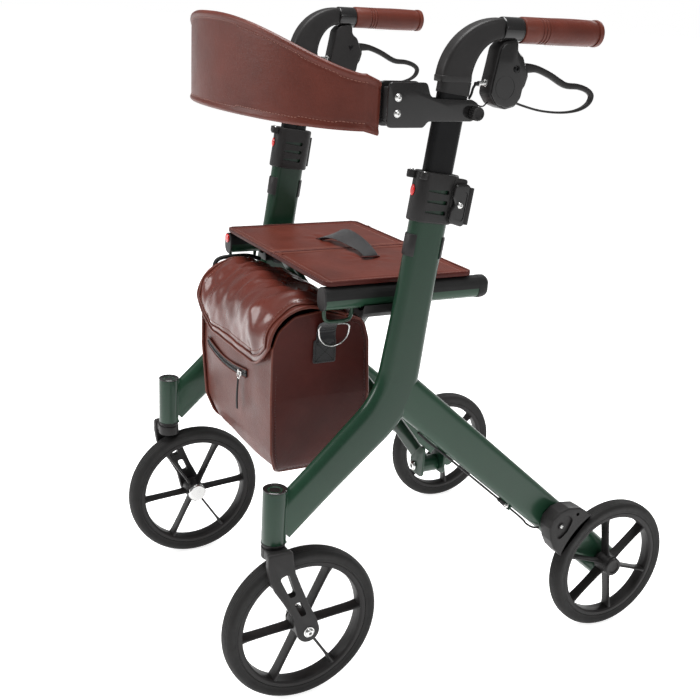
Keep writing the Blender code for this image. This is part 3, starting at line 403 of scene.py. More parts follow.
def loft(name, rings, mat, closed=False, sharp=SHARP):
    """Skin through rings of equal point counts; the ends of an open loft are capped."""
    bm = bmesh.new()
    rows = [[bm.verts.new(point) for point in ring] for ring in rings]
    count = len(rows[0])
    pairs = list(zip(rows, rows[1:]))
    if closed:
        pairs.append((rows[-1], rows[0]))
    for low, high in pairs:
        for i in range(count):
            j = (i + 1) % count
            bm.faces.new((low[i], low[j], high[j], high[i]))
    if not closed:
        bm.faces.new(rows[0][::-1])
        bm.faces.new(rows[-1])
    return finish_mesh(name, bm, mat, sharp)


def oval(wide, thin, steps=12):
    """Points (wide way, thin way) of a flattened tube: two half rounds joined by straight sides."""
    radius = thin / 2
    straight = max(wide / 2 - radius, 0.0)
    ring = []
    for side in (1, -1):
        for k in range(steps + 1):
            angle = -pi / 2 + pi * k / steps
            ring.append((side * (straight + radius * cos(angle)), side * radius * sin(angle)))
    return ring


def oval_stack(name, levels, mat, steps=12):
    """An oval tube up Z through (height, wide, thin) levels."""
    return loft(name, [[(b, a, up) for a, b in oval(wide, thin, steps)] for up, wide, thin in levels],
                mat)


def rounded_box(wide, thin, power=4.0, steps=48):
    """Points of a box section with soft corners."""
    ring = []
    for k in range(steps):
        angle = 2 * pi * k / steps
        c, s = cos(angle), sin(angle)
        ring.append((wide / 2 * abs(c) ** (2 / power) * (1 if c > 0 else -1),
                     thin / 2 * abs(s) ** (2 / power) * (1 if s > 0 else -1)))
    return ring


def disc(radius, steps=16, squash=1.0):
    """A round section, or an oval one when squashed."""
    return [(radius * cos(2 * pi * k / steps), radius * squash * sin(2 * pi * k / steps))
            for k in range(steps)]


def smooth(points, per_leg=6, closed=False):
    """Points read from a smooth curve through the given ones."""
    points = [Vector(p) for p in points]
    if closed:
        padded = [points[-1]] + points + [points[0], points[1]]
    else:
        padded = [points[0] * 2 - points[1]] + points + [points[-1] * 2 - points[-2]]
    route = []
    for i in range(1, len(padded) - 2):
        p0, p1, p2, p3 = padded[i - 1:i + 3]
        for k in range(per_leg):
            t = k / per_leg
            route.append(0.5 * ((2 * p1) + (p2 - p0) * t + (2 * p0 - 5 * p1 + 4 * p2 - p3) * t * t
                                + (3 * p1 - p0 - 3 * p2 + p3) * t ** 3))
    if not closed:
        route.append(points[-1])
    return route


def sweep(name, path, section, mat, side=None, closed=False, sharp=SHARP):
    """Carry a section along a path.

    section is a ring of (side way, cross way) points, or a function of the step.
    """
    path = [Vector(p) for p in path]
    count = len(path)
    rings = []
    for i, point in enumerate(path):
        if closed:
            along = (path[(i + 1) % count] - path[i - 1]).normalized()
        else:
            along = (path[min(i + 1, count - 1)] - path[max(i - 1, 0)]).normalized()
        side = along.orthogonal() if side is None else Vector(side)
        side = (side - along * side.dot(along)).normalized()
        other = along.cross(side)
        ring = section(i) if callable(section) else section
        rings.append([point + side * a + other * b for a, b in ring])
    return loft(name, rings, mat, closed, sharp)


def rod(name, points, radius, mat, steps=12, closed=False, per_leg=6):
    """A round bar through smoothed points."""
    return sweep(name, smooth(points, per_leg, closed), disc(radius, steps), mat, closed=closed)


def fillet(points, radius, steps=5):
    """Round the corners of a closed outline of 2-D points."""
    count = len(points)
    ring = []
    for i, point in enumerate(points):
        p = Vector(point)
        before = Vector(points[i - 1]) - p
        after = Vector(points[(i + 1) % count]) - p
        r = radius[i] if isinstance(radius, (list, tuple)) else radius
        half = before.angle(after, pi) / 2
        reach = min(r * cos(half) / max(sin(half), 0.05), before.length * 0.48, after.length * 0.48)
        start = p + before.normalized() * reach
        end = p + after.normalized() * reach
        for k in range(steps + 1):
            t = k / steps
            ring.append(start * (1 - t) ** 2 + p * 2 * t * (1 - t) + end * t * t)
    kept = [p for i, p in enumerate(ring) if (p - ring[i - 1]).length > 1e-5]
    return kept


def rectangle(low_a, low_b, high_a, high_b, radius, steps=5):
    """A rectangle with rounded corners."""
    return fillet([(low_a, low_b), (high_a, low_b), (high_a, high_b), (low_a, high_b)], radius, steps)


def inset(outline, distance):
    """The outline moved inward by a distance."""
    points = [Vector(p) for p in outline]
    count = len(points)
    area = sum(points[i].x * points[(i + 1) % count].y - points[(i + 1) % count].x * points[i].y
               for i in range(count))
    turn = 1 if area > 0 else -1
    ring = []
    for i, p in enumerate(points):
        d1 = (p - points[i - 1]).normalized()
        d2 = (points[(i + 1) % count] - p).normalized()
        normal = Vector((-(d1.y + d2.y), d1.x + d2.x)).normalized()
        ring.append(p + normal * turn * distance)
    return ring


def slab(name, outline, low, high, mat, edge=0.001, sharp=SHARP):
    """A flat piece with an outline in (y, z), thick along X, its edges rounded."""
    rings = []
    steps = 4
    for side, face in ((-1, low), (1, high)):
        order = range(steps + 1) if side < 0 else range(steps, -1, -1)
        for k in order:
            angle = k / steps * pi / 2
            ring = inset(outline, edge * (1 - sin(angle)))
            x = face - side * edge * (1 - cos(angle))
            rings.append([(x, p.x, p.y) for p in ring])
    return loft(name, rings, mat, sharp=sharp)


def lathe(name, profile, centre, axis, mat, steps=64, closed=False, sharp=SHARP):
    """Turn (along, radius) points about an axis through the centre."""
    axis = Vector(axis).normalized()
    u = axis.orthogonal().normalized()
    v = axis.cross(u)
    centre = Vector(centre)
    rings = []
    for along, radius in profile:
        rings.append([centre + axis * along + (u * cos(2 * pi * k / steps) + v * sin(2 * pi * k / steps))
                      * radius for k in range(steps)])
    return loft(name, rings, mat, closed, sharp)


def turned(name, profile, centre, axis, mat, ease=0.0006, steps=64):
    """A solid turned piece; its corners are eased so that they catch the light."""
    first, last = profile[0][0], profile[-1][0]
    outline = [(first, 0.0)] + list(profile) + [(last, 0.0)]
    radii = [0.0] + [ease] * len(profile) + [0.0]
    eased = fillet(outline, radii, 3)
    body = [(p.x, p.y) for p in eased if p.y > 1e-5]
    return lathe(name, body, centre, axis, mat, steps)


def turned_ring(name, profile, centre, axis, mat, ease=0.0006, steps=72):
    """A turned piece with a hole: the profile is a closed outline."""
    return lathe(name, [(p.x, p.y) for p in fillet(profile, ease, 3)], centre, axis, mat, steps,
                 closed=True)


def join(base, *others):
    """One object from several, each keeping its material."""
    mats = []
    bm = bmesh.new()
    for part in (base, *others):
        own = list(part.data.materials)
        mats += [mat for mat in own if mat not in mats]
        for face in part.data.polygons:
            face.material_index = mats.index(own[face.material_index])
        part.data.transform(part.matrix_world)
        bm.from_mesh(part.data)
    base.data.materials.clear()
    for mat in mats:
        base.data.materials.append(mat)
    bm.to_mesh(base.data)
    bm.free()
    for part in others:
        bpy.data.objects.remove(part, do_unlink=True)
    base.matrix_world = Matrix.Identity(4)
    return base


def boolean(base, operation, *others):
    """Cut or join other objects into the base; the others are used up."""
    for other in others:
        step = base.modifiers.new("step", "BOOLEAN")
        step.operation = operation
        step.solver = "EXACT"
        step.object = other
        bpy.context.view_layer.update()
        graph = bpy.context.evaluated_depsgraph_get()
        result = bpy.data.meshes.new_from_object(base.evaluated_get(graph))
        base.modifiers.remove(step)
        base.data = result
        bpy.data.objects.remove(other, do_unlink=True)
    base.data.shade_smooth()
    base.data.set_sharp_from_angle(angle=radians(SHARP))
    return base


def cut(base, *others):
    return boolean(base, "DIFFERENCE", *others)


def place(made, matrix):
    """Move the mesh itself by a matrix."""
    made.data.transform(matrix)
    return made


def stitches(name, path, mat, spacing=0.0042, length=0.003, radius=0.00042, slant=None):
    """A row of short thread stitches along a path."""
    path = [Vector(p) for p in path]
    bm = bmesh.new()
    travelled, due = 0.0, spacing / 2
    for start, end in zip(path, path[1:]):
        leg = (end - start).length
        while leg > 0 and due <= travelled + leg:
            at = start.lerp(end, (due - travelled) / leg)
            along = (end - start).normalized()
            if slant is not None:
                along = (along + slant).normalized()
            side = along.orthogonal().normalized()
            other = along.cross(side)
            rows = []
            for share, r in ((-0.5, 0.45), (-0.3, 1.0), (0.3, 1.0), (0.5, 0.45)):
                rows.append([bm.verts.new(at + along * length * share + (side * cos(a) + other * sin(a))
                                          * radius * r) for a in (0, pi / 3, 2 * pi / 3, pi, 4 * pi / 3,
                        5 * pi / 3)])
            for low, high in zip(rows, rows[1:]):
                for i in range(6):
                    j = (i + 1) % 6
                    bm.faces.new((low[i], low[j], high[j], high[i]))
            bm.faces.new(rows[0][::-1])
            bm.faces.new(rows[-1])
            due += spacing
        travelled += leg
    return finish_mesh(name, bm, mat, 60)


def swap_side(name):
    """Left in a name becomes right, and right becomes left."""
    return name.replace("left_", "~").replace("right_", "left_").replace("~", "right_")


def mirrored(made, name):
    """A copy on the other side of the middle plane."""
    bm = bmesh.new()
    bm.from_mesh(made.data)
    for vert in bm.verts:
        vert.co.x = -vert.co.x
    bmesh.ops.reverse_faces(bm, faces=bm.faces)
    mesh = made.data.copy()
    mesh.name = name
    bm.to_mesh(mesh)
    bm.free()
    return new_object(name, mesh)


def add_piece(made, body, slot, *nodes):
    """The piece moves with a body, and the CAD nodes it stands for are hidden; slot is not used."""
    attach(made, body)
    if nodes:
        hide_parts(*nodes)
    return made


def pair(made, body, slot, *nodes):
    """Add a left piece and its mirror image."""
    twin = mirrored(made, swap_side(made.name))
    add_piece(made, body, slot, *nodes)
    add_piece(twin, swap_side(body), slot, *[swap_side(node) for node in nodes])
    return made, twin


def screw(name, at, axis, radius, mat=None):
    """A domed screw head with a hexagonal socket."""
    mat = mat or STEEL
    axis = Vector(axis).normalized()
    height = radius * 0.62
    head = [(0.0, radius * 0.92), (height * 0.35, radius), (height * 0.7, radius * 0.9),
            (height * 0.95, radius * 0.62), (height, radius * 0.3)]
    made = lathe(name, head, at, axis, mat, 32)
    socket = lathe("socket", [(height * 0.35, radius * 0.42), (height * 1.5, radius * 0.42)], at, axis,
                   mat, 6)
    return cut(made, socket)


# ---------------------------------------------------------------- side frame
def bend_path():
    """Centre line of the bent tube: down the upright, round the bend, along the front leg."""
    top = Vector((0, UPRIGHT_Y, UPRIGHT_Z)) + AXIS_UP * UPRIGHT_TOP
    down = (CORNER - top).normalized()
    out = (FRONT_LEG_END - CORNER).normalized()
    angle = down.angle(out)
    reach = BEND_RADIUS * sin(angle / 2) / cos(angle / 2)
    start = CORNER - down * reach
    stop = CORNER + out * reach
    points = [top.lerp(start, k / 6) for k in range(6)]
    steps = 26
    for k in range(steps + 1):
        t = k / steps
        points.append(start * (1 - t) ** 2 + CORNER * 2 * t * (1 - t) + stop * t ** 2)
    return points + [stop.lerp(FRONT_LEG_END, 0.5), FRONT_LEG_END]


def on_side(points):
    """The points moved into the left side frame's plane."""
    return [Vector((SIDE_X, p.y, p.z)) for p in points]


def make_frame_tubes():
    """Side frame: bent front tube with its bore, rear leg, and the plug in the leg's end."""
    path = bend_path()
    widths = [TUBE_W - 0.001 + 0.009 * max(0.0, 1 - (p - CORNER).length / 0.16) for p in path]
    tube = sweep("left_frame_tube", on_side(path), lambda i: oval(widths[i], TUBE_T), GREEN, side=Y)
    wide, thin = INNER_W + 0.0008, INNER_T + 0.0008
    bore = oval_stack("bore", [(BORE_BOTTOM, wide, thin), (UPRIGHT_TOP + 0.01, wide, thin)], GREEN)
    cut(tube, place(bore, UPRIGHT))
    pair(tube, "left_frame", "green_paint", "left_frame")

    axle = Vector((0, REAR_AXLE.y, REAR_AXLE.z))
    along = (axle - REAR_LEG_START).normalized()
    leg_end = axle + along * 0.0205
    leg_path = on_side([REAR_LEG_START, REAR_LEG_START.lerp(axle, 0.5), leg_end])
    leg = sweep("left_rear_leg", leg_path, oval(TUBE_W, TUBE_T - 0.0003), GREEN, side=Y)
    pair(leg, "left_frame", "green_paint", "left_frame")
    plug = sweep("left_leg_plug", on_side([leg_end - along * 0.001, leg_end + along * 0.0012]),
                 oval(TUBE_W - 0.003, TUBE_T - 0.003), PLASTIC, side=Y)
    pair(plug, "left_frame", "black_plastic")


def make_head_tube():
    """Head tube with its weld, lower bearing cup and cap."""
    head = turned_ring("left_head_tube", [(HEAD_BOTTOM + 0.003, STEM_HOLE), (HEAD_BOTTOM + 0.003, HEAD_R),
                                          (HEAD_TOP - 0.0012, HEAD_R), (HEAD_TOP - 0.0012, STEM_HOLE)],
                       (SIDE_X, HEAD_Y, 0), Z, GREEN, 0.001)
    join(head, head_weld())
    pair(head, "left_frame", "green_paint", "left_frame")
    cup = turned_ring("left_bearing_cup", [(HEAD_BOTTOM + 0.0002, STEM_HOLE),
                                           (HEAD_BOTTOM + 0.0002, HEAD_R - 0.001),
                                           (HEAD_BOTTOM + 0.001, HEAD_R + 0.0006),
                                           (HEAD_BOTTOM + 0.0031, HEAD_R + 0.0006),
                                           (HEAD_BOTTOM + 0.0031, STEM_HOLE)], (SIDE_X, HEAD_Y, 0), Z,
                      PLASTIC)
    pair(cup, "left_frame", "black_plastic")
    cap = lathe("left_head_cap", [(HEAD_TOP - 0.002, 0.015), (HEAD_TOP - 0.0013, HEAD_R + 0.0002),
                                  (HEAD_TOP + 0.0002, HEAD_R + 0.0002),
                                  (HEAD_TOP + 0.0008, HEAD_R - 0.0008),
                                  (HEAD_TOP + 0.0004, HEAD_R - 0.0028), (HEAD_TOP - 0.0018, 0.009),
                                  (HEAD_TOP - 0.0024, 0.004), (HEAD_TOP - 0.0025, 0.0005)],
                (SIDE_X, HEAD_Y, 0), Z, GLOSS)
    pair(cap, "left_frame", "black_plastic")


def make_brace_lugs():
    """Two lugs on the rear leg, and the pin through them, for a brace's lower end."""
    lug_outline = fillet([(0.194, 0.314), (0.2285, 0.314), (0.2285, 0.363), (0.2195, 0.363),
                          (0.194, 0.337)], 0.009)
    lugs = []
    for near in (PIVOT.y - 0.02, PIVOT.y + 0.0165):
        plate = slab("lug", [(-p.x, p.y) for p in lug_outline], near, near + LUG_T, GREEN, 0.0006)
        lugs.append(place(plate, ACROSS_TO_ALONG))
    pin = turned("pin", [(-0.0215, 0.0045), (0.0215, 0.0045)], PIVOT, Y, STEEL)
    heads = [screw("head", PIVOT + Y * 0.02, Y, 0.0072), screw("head", PIVOT - Y * 0.02, -Y, 0.0072)]
    lugs[0].name = "left_brace_lugs"
    pair(join(lugs[0], lugs[1], pin, *heads), "left_frame", "green_paint", "left_frame")


def make_frame_clips():
    """Thin shells clipped on both round edges of the upright."""
    clips = []
    for side in (-1, 1):
        rings = []
        for up, lift in ((-0.04, -0.001), (-0.0385, 0.0), (-0.0115, 0.0), (-0.01, -0.001)):
            turn = [radians(CLIP_TURN * (k / 8 - 1)) for k in range(17)]
            shell = [(a, CLIP_R + lift) for a in turn] + [(a, CLIP_BORE) for a in turn[::-1]]
            rings.append([(sin(a) * r, side * (CLIP_AT + cos(a) * r), up) for a, r in shell])
        clips.append(place(loft("left_frame_clip", rings, PLASTIC), UPRIGHT))
    clips[0].name = "left_frame_clips"
    pair(join(*clips), "left_frame", "black_plastic")


def head_weld():
    """Bead where the front leg meets the head tube."""
    way = (FRONT_LEG_END - CORNER).normalized()
    side = Vector((0, way.z, -way.y))
    ring = []
    for a, b in oval(TUBE_W - 0.0006, TUBE_T, 12):
        across = min(abs(b) / HEAD_R, 1.0)
        reach = HEAD_R * sqrt(1 - across ** 2)
        start = FRONT_LEG_END + side * a
        y = HEAD_Y + reach
        along = (y - start.y) / way.y
        ring.append(Vector((SIDE_X + b, y + 0.0004, (start + way * along).z)))
    return sweep("bead", ring, lambda i: disc(0.0016 + 0.0002 * sin(i * 2.1), 10), GREEN, closed=True)


# ---------------------------------------------------------------- height tube, elbow, grip
def make_height_tube():
    """Inner tube that slides in the upright, with its row of holes."""
    ends = [(HEIGHT_TUBE_LOW, 0.001), (HEIGHT_TUBE_LOW + 0.001, 0.0), (0.02, 0.0), (HEIGHT_TUBE_TOP, 0.0)]
    tube = oval_stack("left_height_tube", [(up, INNER_W - less, INNER_T - less) for up, less in ends],
                      BLACK_TUBE)
    place(tube, UPRIGHT)
    holes = []
    for k in range(5):
        at = UPRIGHT @ Vector((0.0, 0.0, 0.1 - 0.02 * k))
        holes.append(turned("dimple", [(INNER_T / 2 - 0.0015, 0.003), (INNER_T / 2 + 0.002, 0.003)], at,
                            -X, BLACK_TUBE, 0.0, 24))
    cut(tube, *holes)
    pair(tube, "left_handle", "black_tube", "left_height_tube")


def elbow_step(t):
    """Middle, half width and width direction of the elbow at a share of its quarter turn."""
    far = Vector((0, ELBOW_CENTRE[0] - ELBOW_OUTER[0] * cos(t),
                  ELBOW_CENTRE[1] + ELBOW_OUTER[1] * sin(t)))
    near = Vector((0, ELBOW_CENTRE[0] - ELBOW_INNER[0] * cos(t),
                   ELBOW_CENTRE[1] + ELBOW_INNER[1] * sin(t)))
    return (far + near) / 2, (far - near).length, (far - near).normalized()


def make_elbow():
    """Curved handle elbow with its band, its socket over the height tube and the grip's bar."""
    steps = 30
    rings = []
    for k in range(steps + 1):
        t = k / steps * pi / 2
        middle, wide, way = elbow_step(t)
        x = SIDE_X + (HANDLE_X - SIDE_X) * k / steps
        shrink = 0.002 if k == steps else 0.0
        rings.append([Vector((x + b, middle.y, middle.z)) + way * a
                      for a, b in rounded_box(wide - shrink, ELBOW_T - shrink, 5.0, 56)])
    elbow = loft("left_elbow", rings, PLASTIC)
    middle, wide, way = elbow_step(0.0)
    rings = []
    for up, grow in ((0.0, 0.0), (0.0008, 0.001), (0.0075, 0.001), (0.008, 0.0)):
        base = Vector((SIDE_X, middle.y, ELBOW_LOW + up))
        rings.append([base + X * b + way * a for a, b in rounded_box(wide + grow, ELBOW_T + grow, 5.0,
                56)])
    band = loft("band", rings, PLASTIC)
    bar = turned("bar", [(-0.012, BAR_R), (GRIP_END - 0.006 - ELBOW_END_Y, BAR_R)],
                 (HANDLE_X, ELBOW_END_Y, GRIP_Z), Y, BLACK_TUBE)
    ends = [(SOCKET_LOW, 0.0016), (SOCKET_LOW + 0.0008, 0.0), (SOCKET_TOP, 0.0)]
    socket = oval_stack("socket", [(up, INNER_W + 0.003 - g, INNER_T + 0.005 - g) for up, g in ends],
                        PLASTIC)
    pair(join(elbow, band, place(socket, UPRIGHT), bar), "left_handle", "black_plastic", "left_elbow")


def make_grip():
    """Leather-wrapped grip: two ring grooves by the collar, an end cap, and a seam stitched underneath."""
    start, end = GRIP_START, GRIP_END
    r = GRIP_R
    profile = [(start, COLLAR_BORE), (start, r - 0.0014), (start + 0.0006, r - 0.0004),
               (start + 0.002, r)]
    for groove in (0.036, 0.041, 0.046):
        profile += [(groove, r + 0.0001), (groove + 0.0007, r - 0.001), (groove + 0.0015, r - 0.0012),
                    (groove + 0.0022, r - 0.001), (groove + 0.0029, r + 0.0001)]
    for k in range(9):
        share = k / 8
        profile.append((0.051 + (end - 0.063) * share, r + 0.0006 * sin(pi * share)))
    profile += [(end - less, radius) for less, radius in ((0.0105, r - 0.0009), (0.0095, r - 0.0009),
                                                          (0.009, r + 0.0007), (0.005, r + 0.0009),
                                                          (0.0024, r + 0.0002), (0.0009, r - 0.0018),
                                                          (0.0002, r - 0.005), (0.0, 0.005),
                                                          (0.0, 0.0012))]
    grip = lathe("left_grip_wrap", profile + [(end - 0.006, 0.0012), (end - 0.006, COLLAR_BORE)],
                 (HANDLE_X, 0, GRIP_Z), Y, LEATHER, 72, closed=True)
    seam = [Vector((HANDLE_X, y, GRIP_Z - r - 0.0002)) for y in (0.052, 0.09, end - 0.013)]
    thread = stitches("thread", seam, THREAD, slant=Vector((0.5, 0, 0)))
    pair(join(grip, thread), "left_handle", "leather", "left_grip")


# ---------------------------------------------------------------- brake housing, lever, cables
HOUSING = [(-0.0205, 0.94), (0.002, 0.944), (0.003, 0.928), (0.013, 0.921), (0.018, 0.909),
           (0.022, 0.897), (0.017, 0.885), (0.014, 0.868), (0.006, 0.857), (-0.01, 0.853),
           (-0.028, 0.859), (-0.038, 0.872), (-0.036, 0.889), (-0.031, 0.915), (-0.028, 0.932)]


def make_brake_housing():
    """Brake housing: body with the lever's slot, collar on the bar, face plate and lever bolt."""
    outline = fillet(HOUSING, 0.01, 4)
    body = slab("left_brake_housing", outline, HANDLE_X - 0.0138, HANDLE_X + 0.0118, PLASTIC, 0.0022)
    slot = slab("slot", [(-0.018, 0.8645), (0.05, 0.8645), (0.05, 0.93), (-0.018, 0.93)],
                HANDLE_X - LEVER_HALF - 0.0007, HANDLE_X + LEVER_HALF + 0.0007, PLASTIC, 0.0)
    bore = turned("bore", [(-0.06, COLLAR_BORE), (0.04, COLLAR_BORE)], (HANDLE_X, 0, GRIP_Z), Y, PLASTIC,
                  0.0)
    cut(body, slot, bore)
    pair(body, "left_handle", "black_plastic", "left_brake_housing")

    collar = turned_ring("left_brake_collar", [(-0.0218, COLLAR_BORE), (-0.0218, 0.015), (-0.0205, 0.016),
                                               (0.0062, 0.016), (0.0072, 0.0155), (0.009, 0.0155),
                                               (0.009, COLLAR_BORE)], (HANDLE_X, 0, GRIP_Z), Y, GLOSS,
                         0.0009)
    pair(collar, "left_handle", "black_plastic", "left_brake_housing")

    face = slab("left_housing_plate", inset(outline, 0.0022), HANDLE_X + 0.0112, HANDLE_X + 0.014, GLOSS,
                0.0009)
    groove = turned_ring("groove", [(0.0136, 0.0146), (0.0136, 0.0154), (0.015, 0.0154), (0.015, 0.0146)],
                         (HANDLE_X, -0.015, 0.882), X, GLOSS, 0.0)
    pocket = turned("pocket", [(0.0134, 0.0056), (0.015, 0.0056)], (HANDLE_X, *LEVER_PIVOT), X, GLOSS,
                    0.0, 32)
    cut(face, groove, pocket)
    pair(face, "left_handle", "black_plastic")
    bolt = screw("left_lever_bolt", (HANDLE_X + 0.0132, *LEVER_PIVOT), X, 0.0044, BLACK_TUBE)
    back = screw("back", (HANDLE_X - 0.0134, *LEVER_PIVOT), -X, 0.004, BLACK_TUBE)
    pair(join(bolt, back), "left_handle", "steel")


def make_cable_barrel():
    """Adjuster that the cable leaves the housing by."""
    barrel_at = Vector((HANDLE_X, -0.03, 0.8868))
    way = Vector((0, -1, -0.08))
    nut = lathe("nut", [(0.004, 0.0048), (0.0044, 0.0052), (0.0078, 0.0052), (0.0082, 0.0048)], barrel_at,
                way, STEEL, 6)
    threads = []
    for k in range(9):
        threads += [(0.0082 + 0.0008 * k, 0.0028), (0.0086 + 0.0008 * k, 0.0032)]
    barrel = lathe("left_cable_barrel", [(0.0, 0.003), (0.0082, 0.003)] + threads
                   + [(0.0155, 0.0036), (0.0192, 0.0036), (0.0196, 0.0026)], barrel_at, way, STEEL, 28)
    pair(join(barrel, nut), "left_handle", "steel")


# (y, z, width in the side plane, thickness along X) of the lever's middle line, from the pivot round
LEVER_LOOP = [
    (0.001, 0.906, 0.013, 0.0088), (0.014, 0.9062, 0.014, 0.0088), (0.03, 0.9068, 0.0125, 0.009),
    (0.0455, 0.9055, 0.0095, 0.0092), (0.068, 0.8978, 0.009, 0.0094), (0.0945, 0.8858, 0.0088, 0.0096),
    (0.1175, 0.8838, 0.0082, 0.0096), (0.134, 0.8795, 0.0076, 0.0092), (0.143, 0.8722, 0.007, 0.0088),
    (0.1402, 0.862, 0.006, 0.008), (0.1282, 0.854, 0.0048, 0.0066), (0.1095, 0.8495, 0.0036, 0.005),
    (0.085, 0.8485, 0.0032, 0.0042), (0.056, 0.851, 0.0031, 0.004), (0.03, 0.8566, 0.0031, 0.004),
    (0.012, 0.862, 0.0031, 0.004), (0.003, 0.868, 0.0031, 0.004),
]


def make_brake_lever():
    """One wavy loop: thick and rounded on top and behind, thin along the bottom."""
    line = smooth([(HANDLE_X, y, z) for y, z, wide, thick in LEVER_LOOP], 7)
    sizes = smooth([(wide, thick, 0) for y, z, wide, thick in LEVER_LOOP], 7)
    loop = sweep("left_brake_lever", line, lambda i: rounded_box(sizes[i].x, sizes[i].y, 2.8, 28),
                 PLASTIC, side=Z)
    root = slab("root", fillet([(-0.0075, 0.902), (0.002, 0.9125), (0.026, 0.912), (0.028, 0.896),
                                (0.0245, 0.884), (0.015, 0.87), (-0.004, 0.876)], 0.005),
                HANDLE_X - LEVER_HALF, HANDLE_X + LEVER_HALF, PLASTIC, 0.0014)
    hole = turned("hole", [(-0.02, 0.0035), (0.02, 0.0035)], (HANDLE_X, *LEVER_PIVOT), X, PLASTIC, 0.0,
                  24)
    cut(root, hole)
    pair(join(loop, root), "left_brake_lever", "black_plastic", "left_brake_lever")


def make_upper_cable():
    """Sheathed cable from the barrel to the height tube, and the bare strand under the housing."""
    route = [(HANDLE_X, -0.048, 0.8852), (HANDLE_X, -0.053, 0.8838), (0.237, -0.0555, 0.879),
             (0.235, -0.056, 0.8715), (0.2335, -0.0585, 0.865)]
    cable = rod("left_upper_cable", route, 0.0017, CABLE, 14, per_leg=8)
    collar = turned("collar", [(0.0, 0.0026), (0.005, 0.0026)], (HANDLE_X, -0.049, 0.8851), -Y, CABLE,
                    0.0006)
    strand = rod("strand", [(HANDLE_X - 0.001, -0.03, 0.862), (HANDLE_X - 0.001, -0.038, 0.856),
                            (0.2365, -0.048, 0.8585), (0.2345, -0.056, 0.864)], 0.001, CABLE, 10)
    pair(join(cable, collar, strand), "left_handle", "cable", "left_brake_cable")


def make_lower_cable():
    """Cable along the rear leg, with its rubber boot, threaded adjuster and tab."""
    low = [under_leg(-0.075, 0.002), under_leg(-0.055, 0.003), under_leg(-0.02, 0.0026),
           under_leg(0.06, 0.0026), under_leg(0.13, 0.003)]
    last = low[-1]
    low += [last + Vector((0.003, 0.012, -0.013)), last + Vector((0.008, 0.022, -0.019)),
            last + Vector((0.014, 0.03, -0.018))]
    pair(rod("left_lower_cable", low, 0.0017, CABLE, 12), "left_frame", "cable", "left_lower_cable")

    along = leg_direction()
    stop_at = under_leg(0.095, 0.0026)
    boot = turned("left_cable_boot", [(-0.016, 0.0022), (-0.013, 0.0034), (-0.0095, 0.0034),
                                      (-0.0085, 0.0028), (-0.006, 0.0036), (0.0, 0.0036)], stop_at, along,
                  RUBBER, 0.0004, 32)
    pair(boot, "left_frame", "cable")
    threads = [(0.0, 0.0026)]
    for k in range(14):
        threads += [(0.0004 + 0.0009 * k, 0.0025), (0.0009 + 0.0009 * k, 0.0029)]
    threads.append((0.0135, 0.0025))
    adjuster = lathe("left_cable_adjuster", threads, stop_at, along, STEEL, 28)
    nut = lathe("nut", [(0.004, 0.0046), (0.0044, 0.005), (0.0072, 0.005), (0.0076, 0.0046)], stop_at,
                along, STEEL, 6)
    pair(join(adjuster, nut), "left_frame", "steel")
    down = leg_down()
    tab = []
    for share, drop in ((0.0, -0.004), (0.0, 0.0068), (1.0, 0.0068), (1.0, -0.004)):
        point = stop_at + along * (0.0098 + 0.003 * share) + down * (drop - 0.0026)
        tab.append((point.y, point.z))
    pair(slab("left_cable_tab", fillet(tab, 0.0009, 3), SIDE_X - 0.006, SIDE_X + 0.006, GREEN, 0.0005),
         "left_frame", "green_paint")


def leg_direction():
    """Direction of the rear leg, from the bend to the wheel."""
    return (Vector((0, REAR_AXLE.y, REAR_AXLE.z)) - REAR_LEG_START).normalized()


def leg_down():
    """Direction square to the rear leg, out of its lower face."""
    along = leg_direction()
    return Vector((0, along.z, -along.y))


def under_leg(y, drop):
    """A point under the rear leg at a distance y along, drop below its lower face."""
    along = leg_direction()
    point = REAR_LEG_START + along * ((y - REAR_LEG_START.y) / along.y) + leg_down() * (TUBE_W / 2 + drop)
    return Vector((SIDE_X, point.y, point.z))


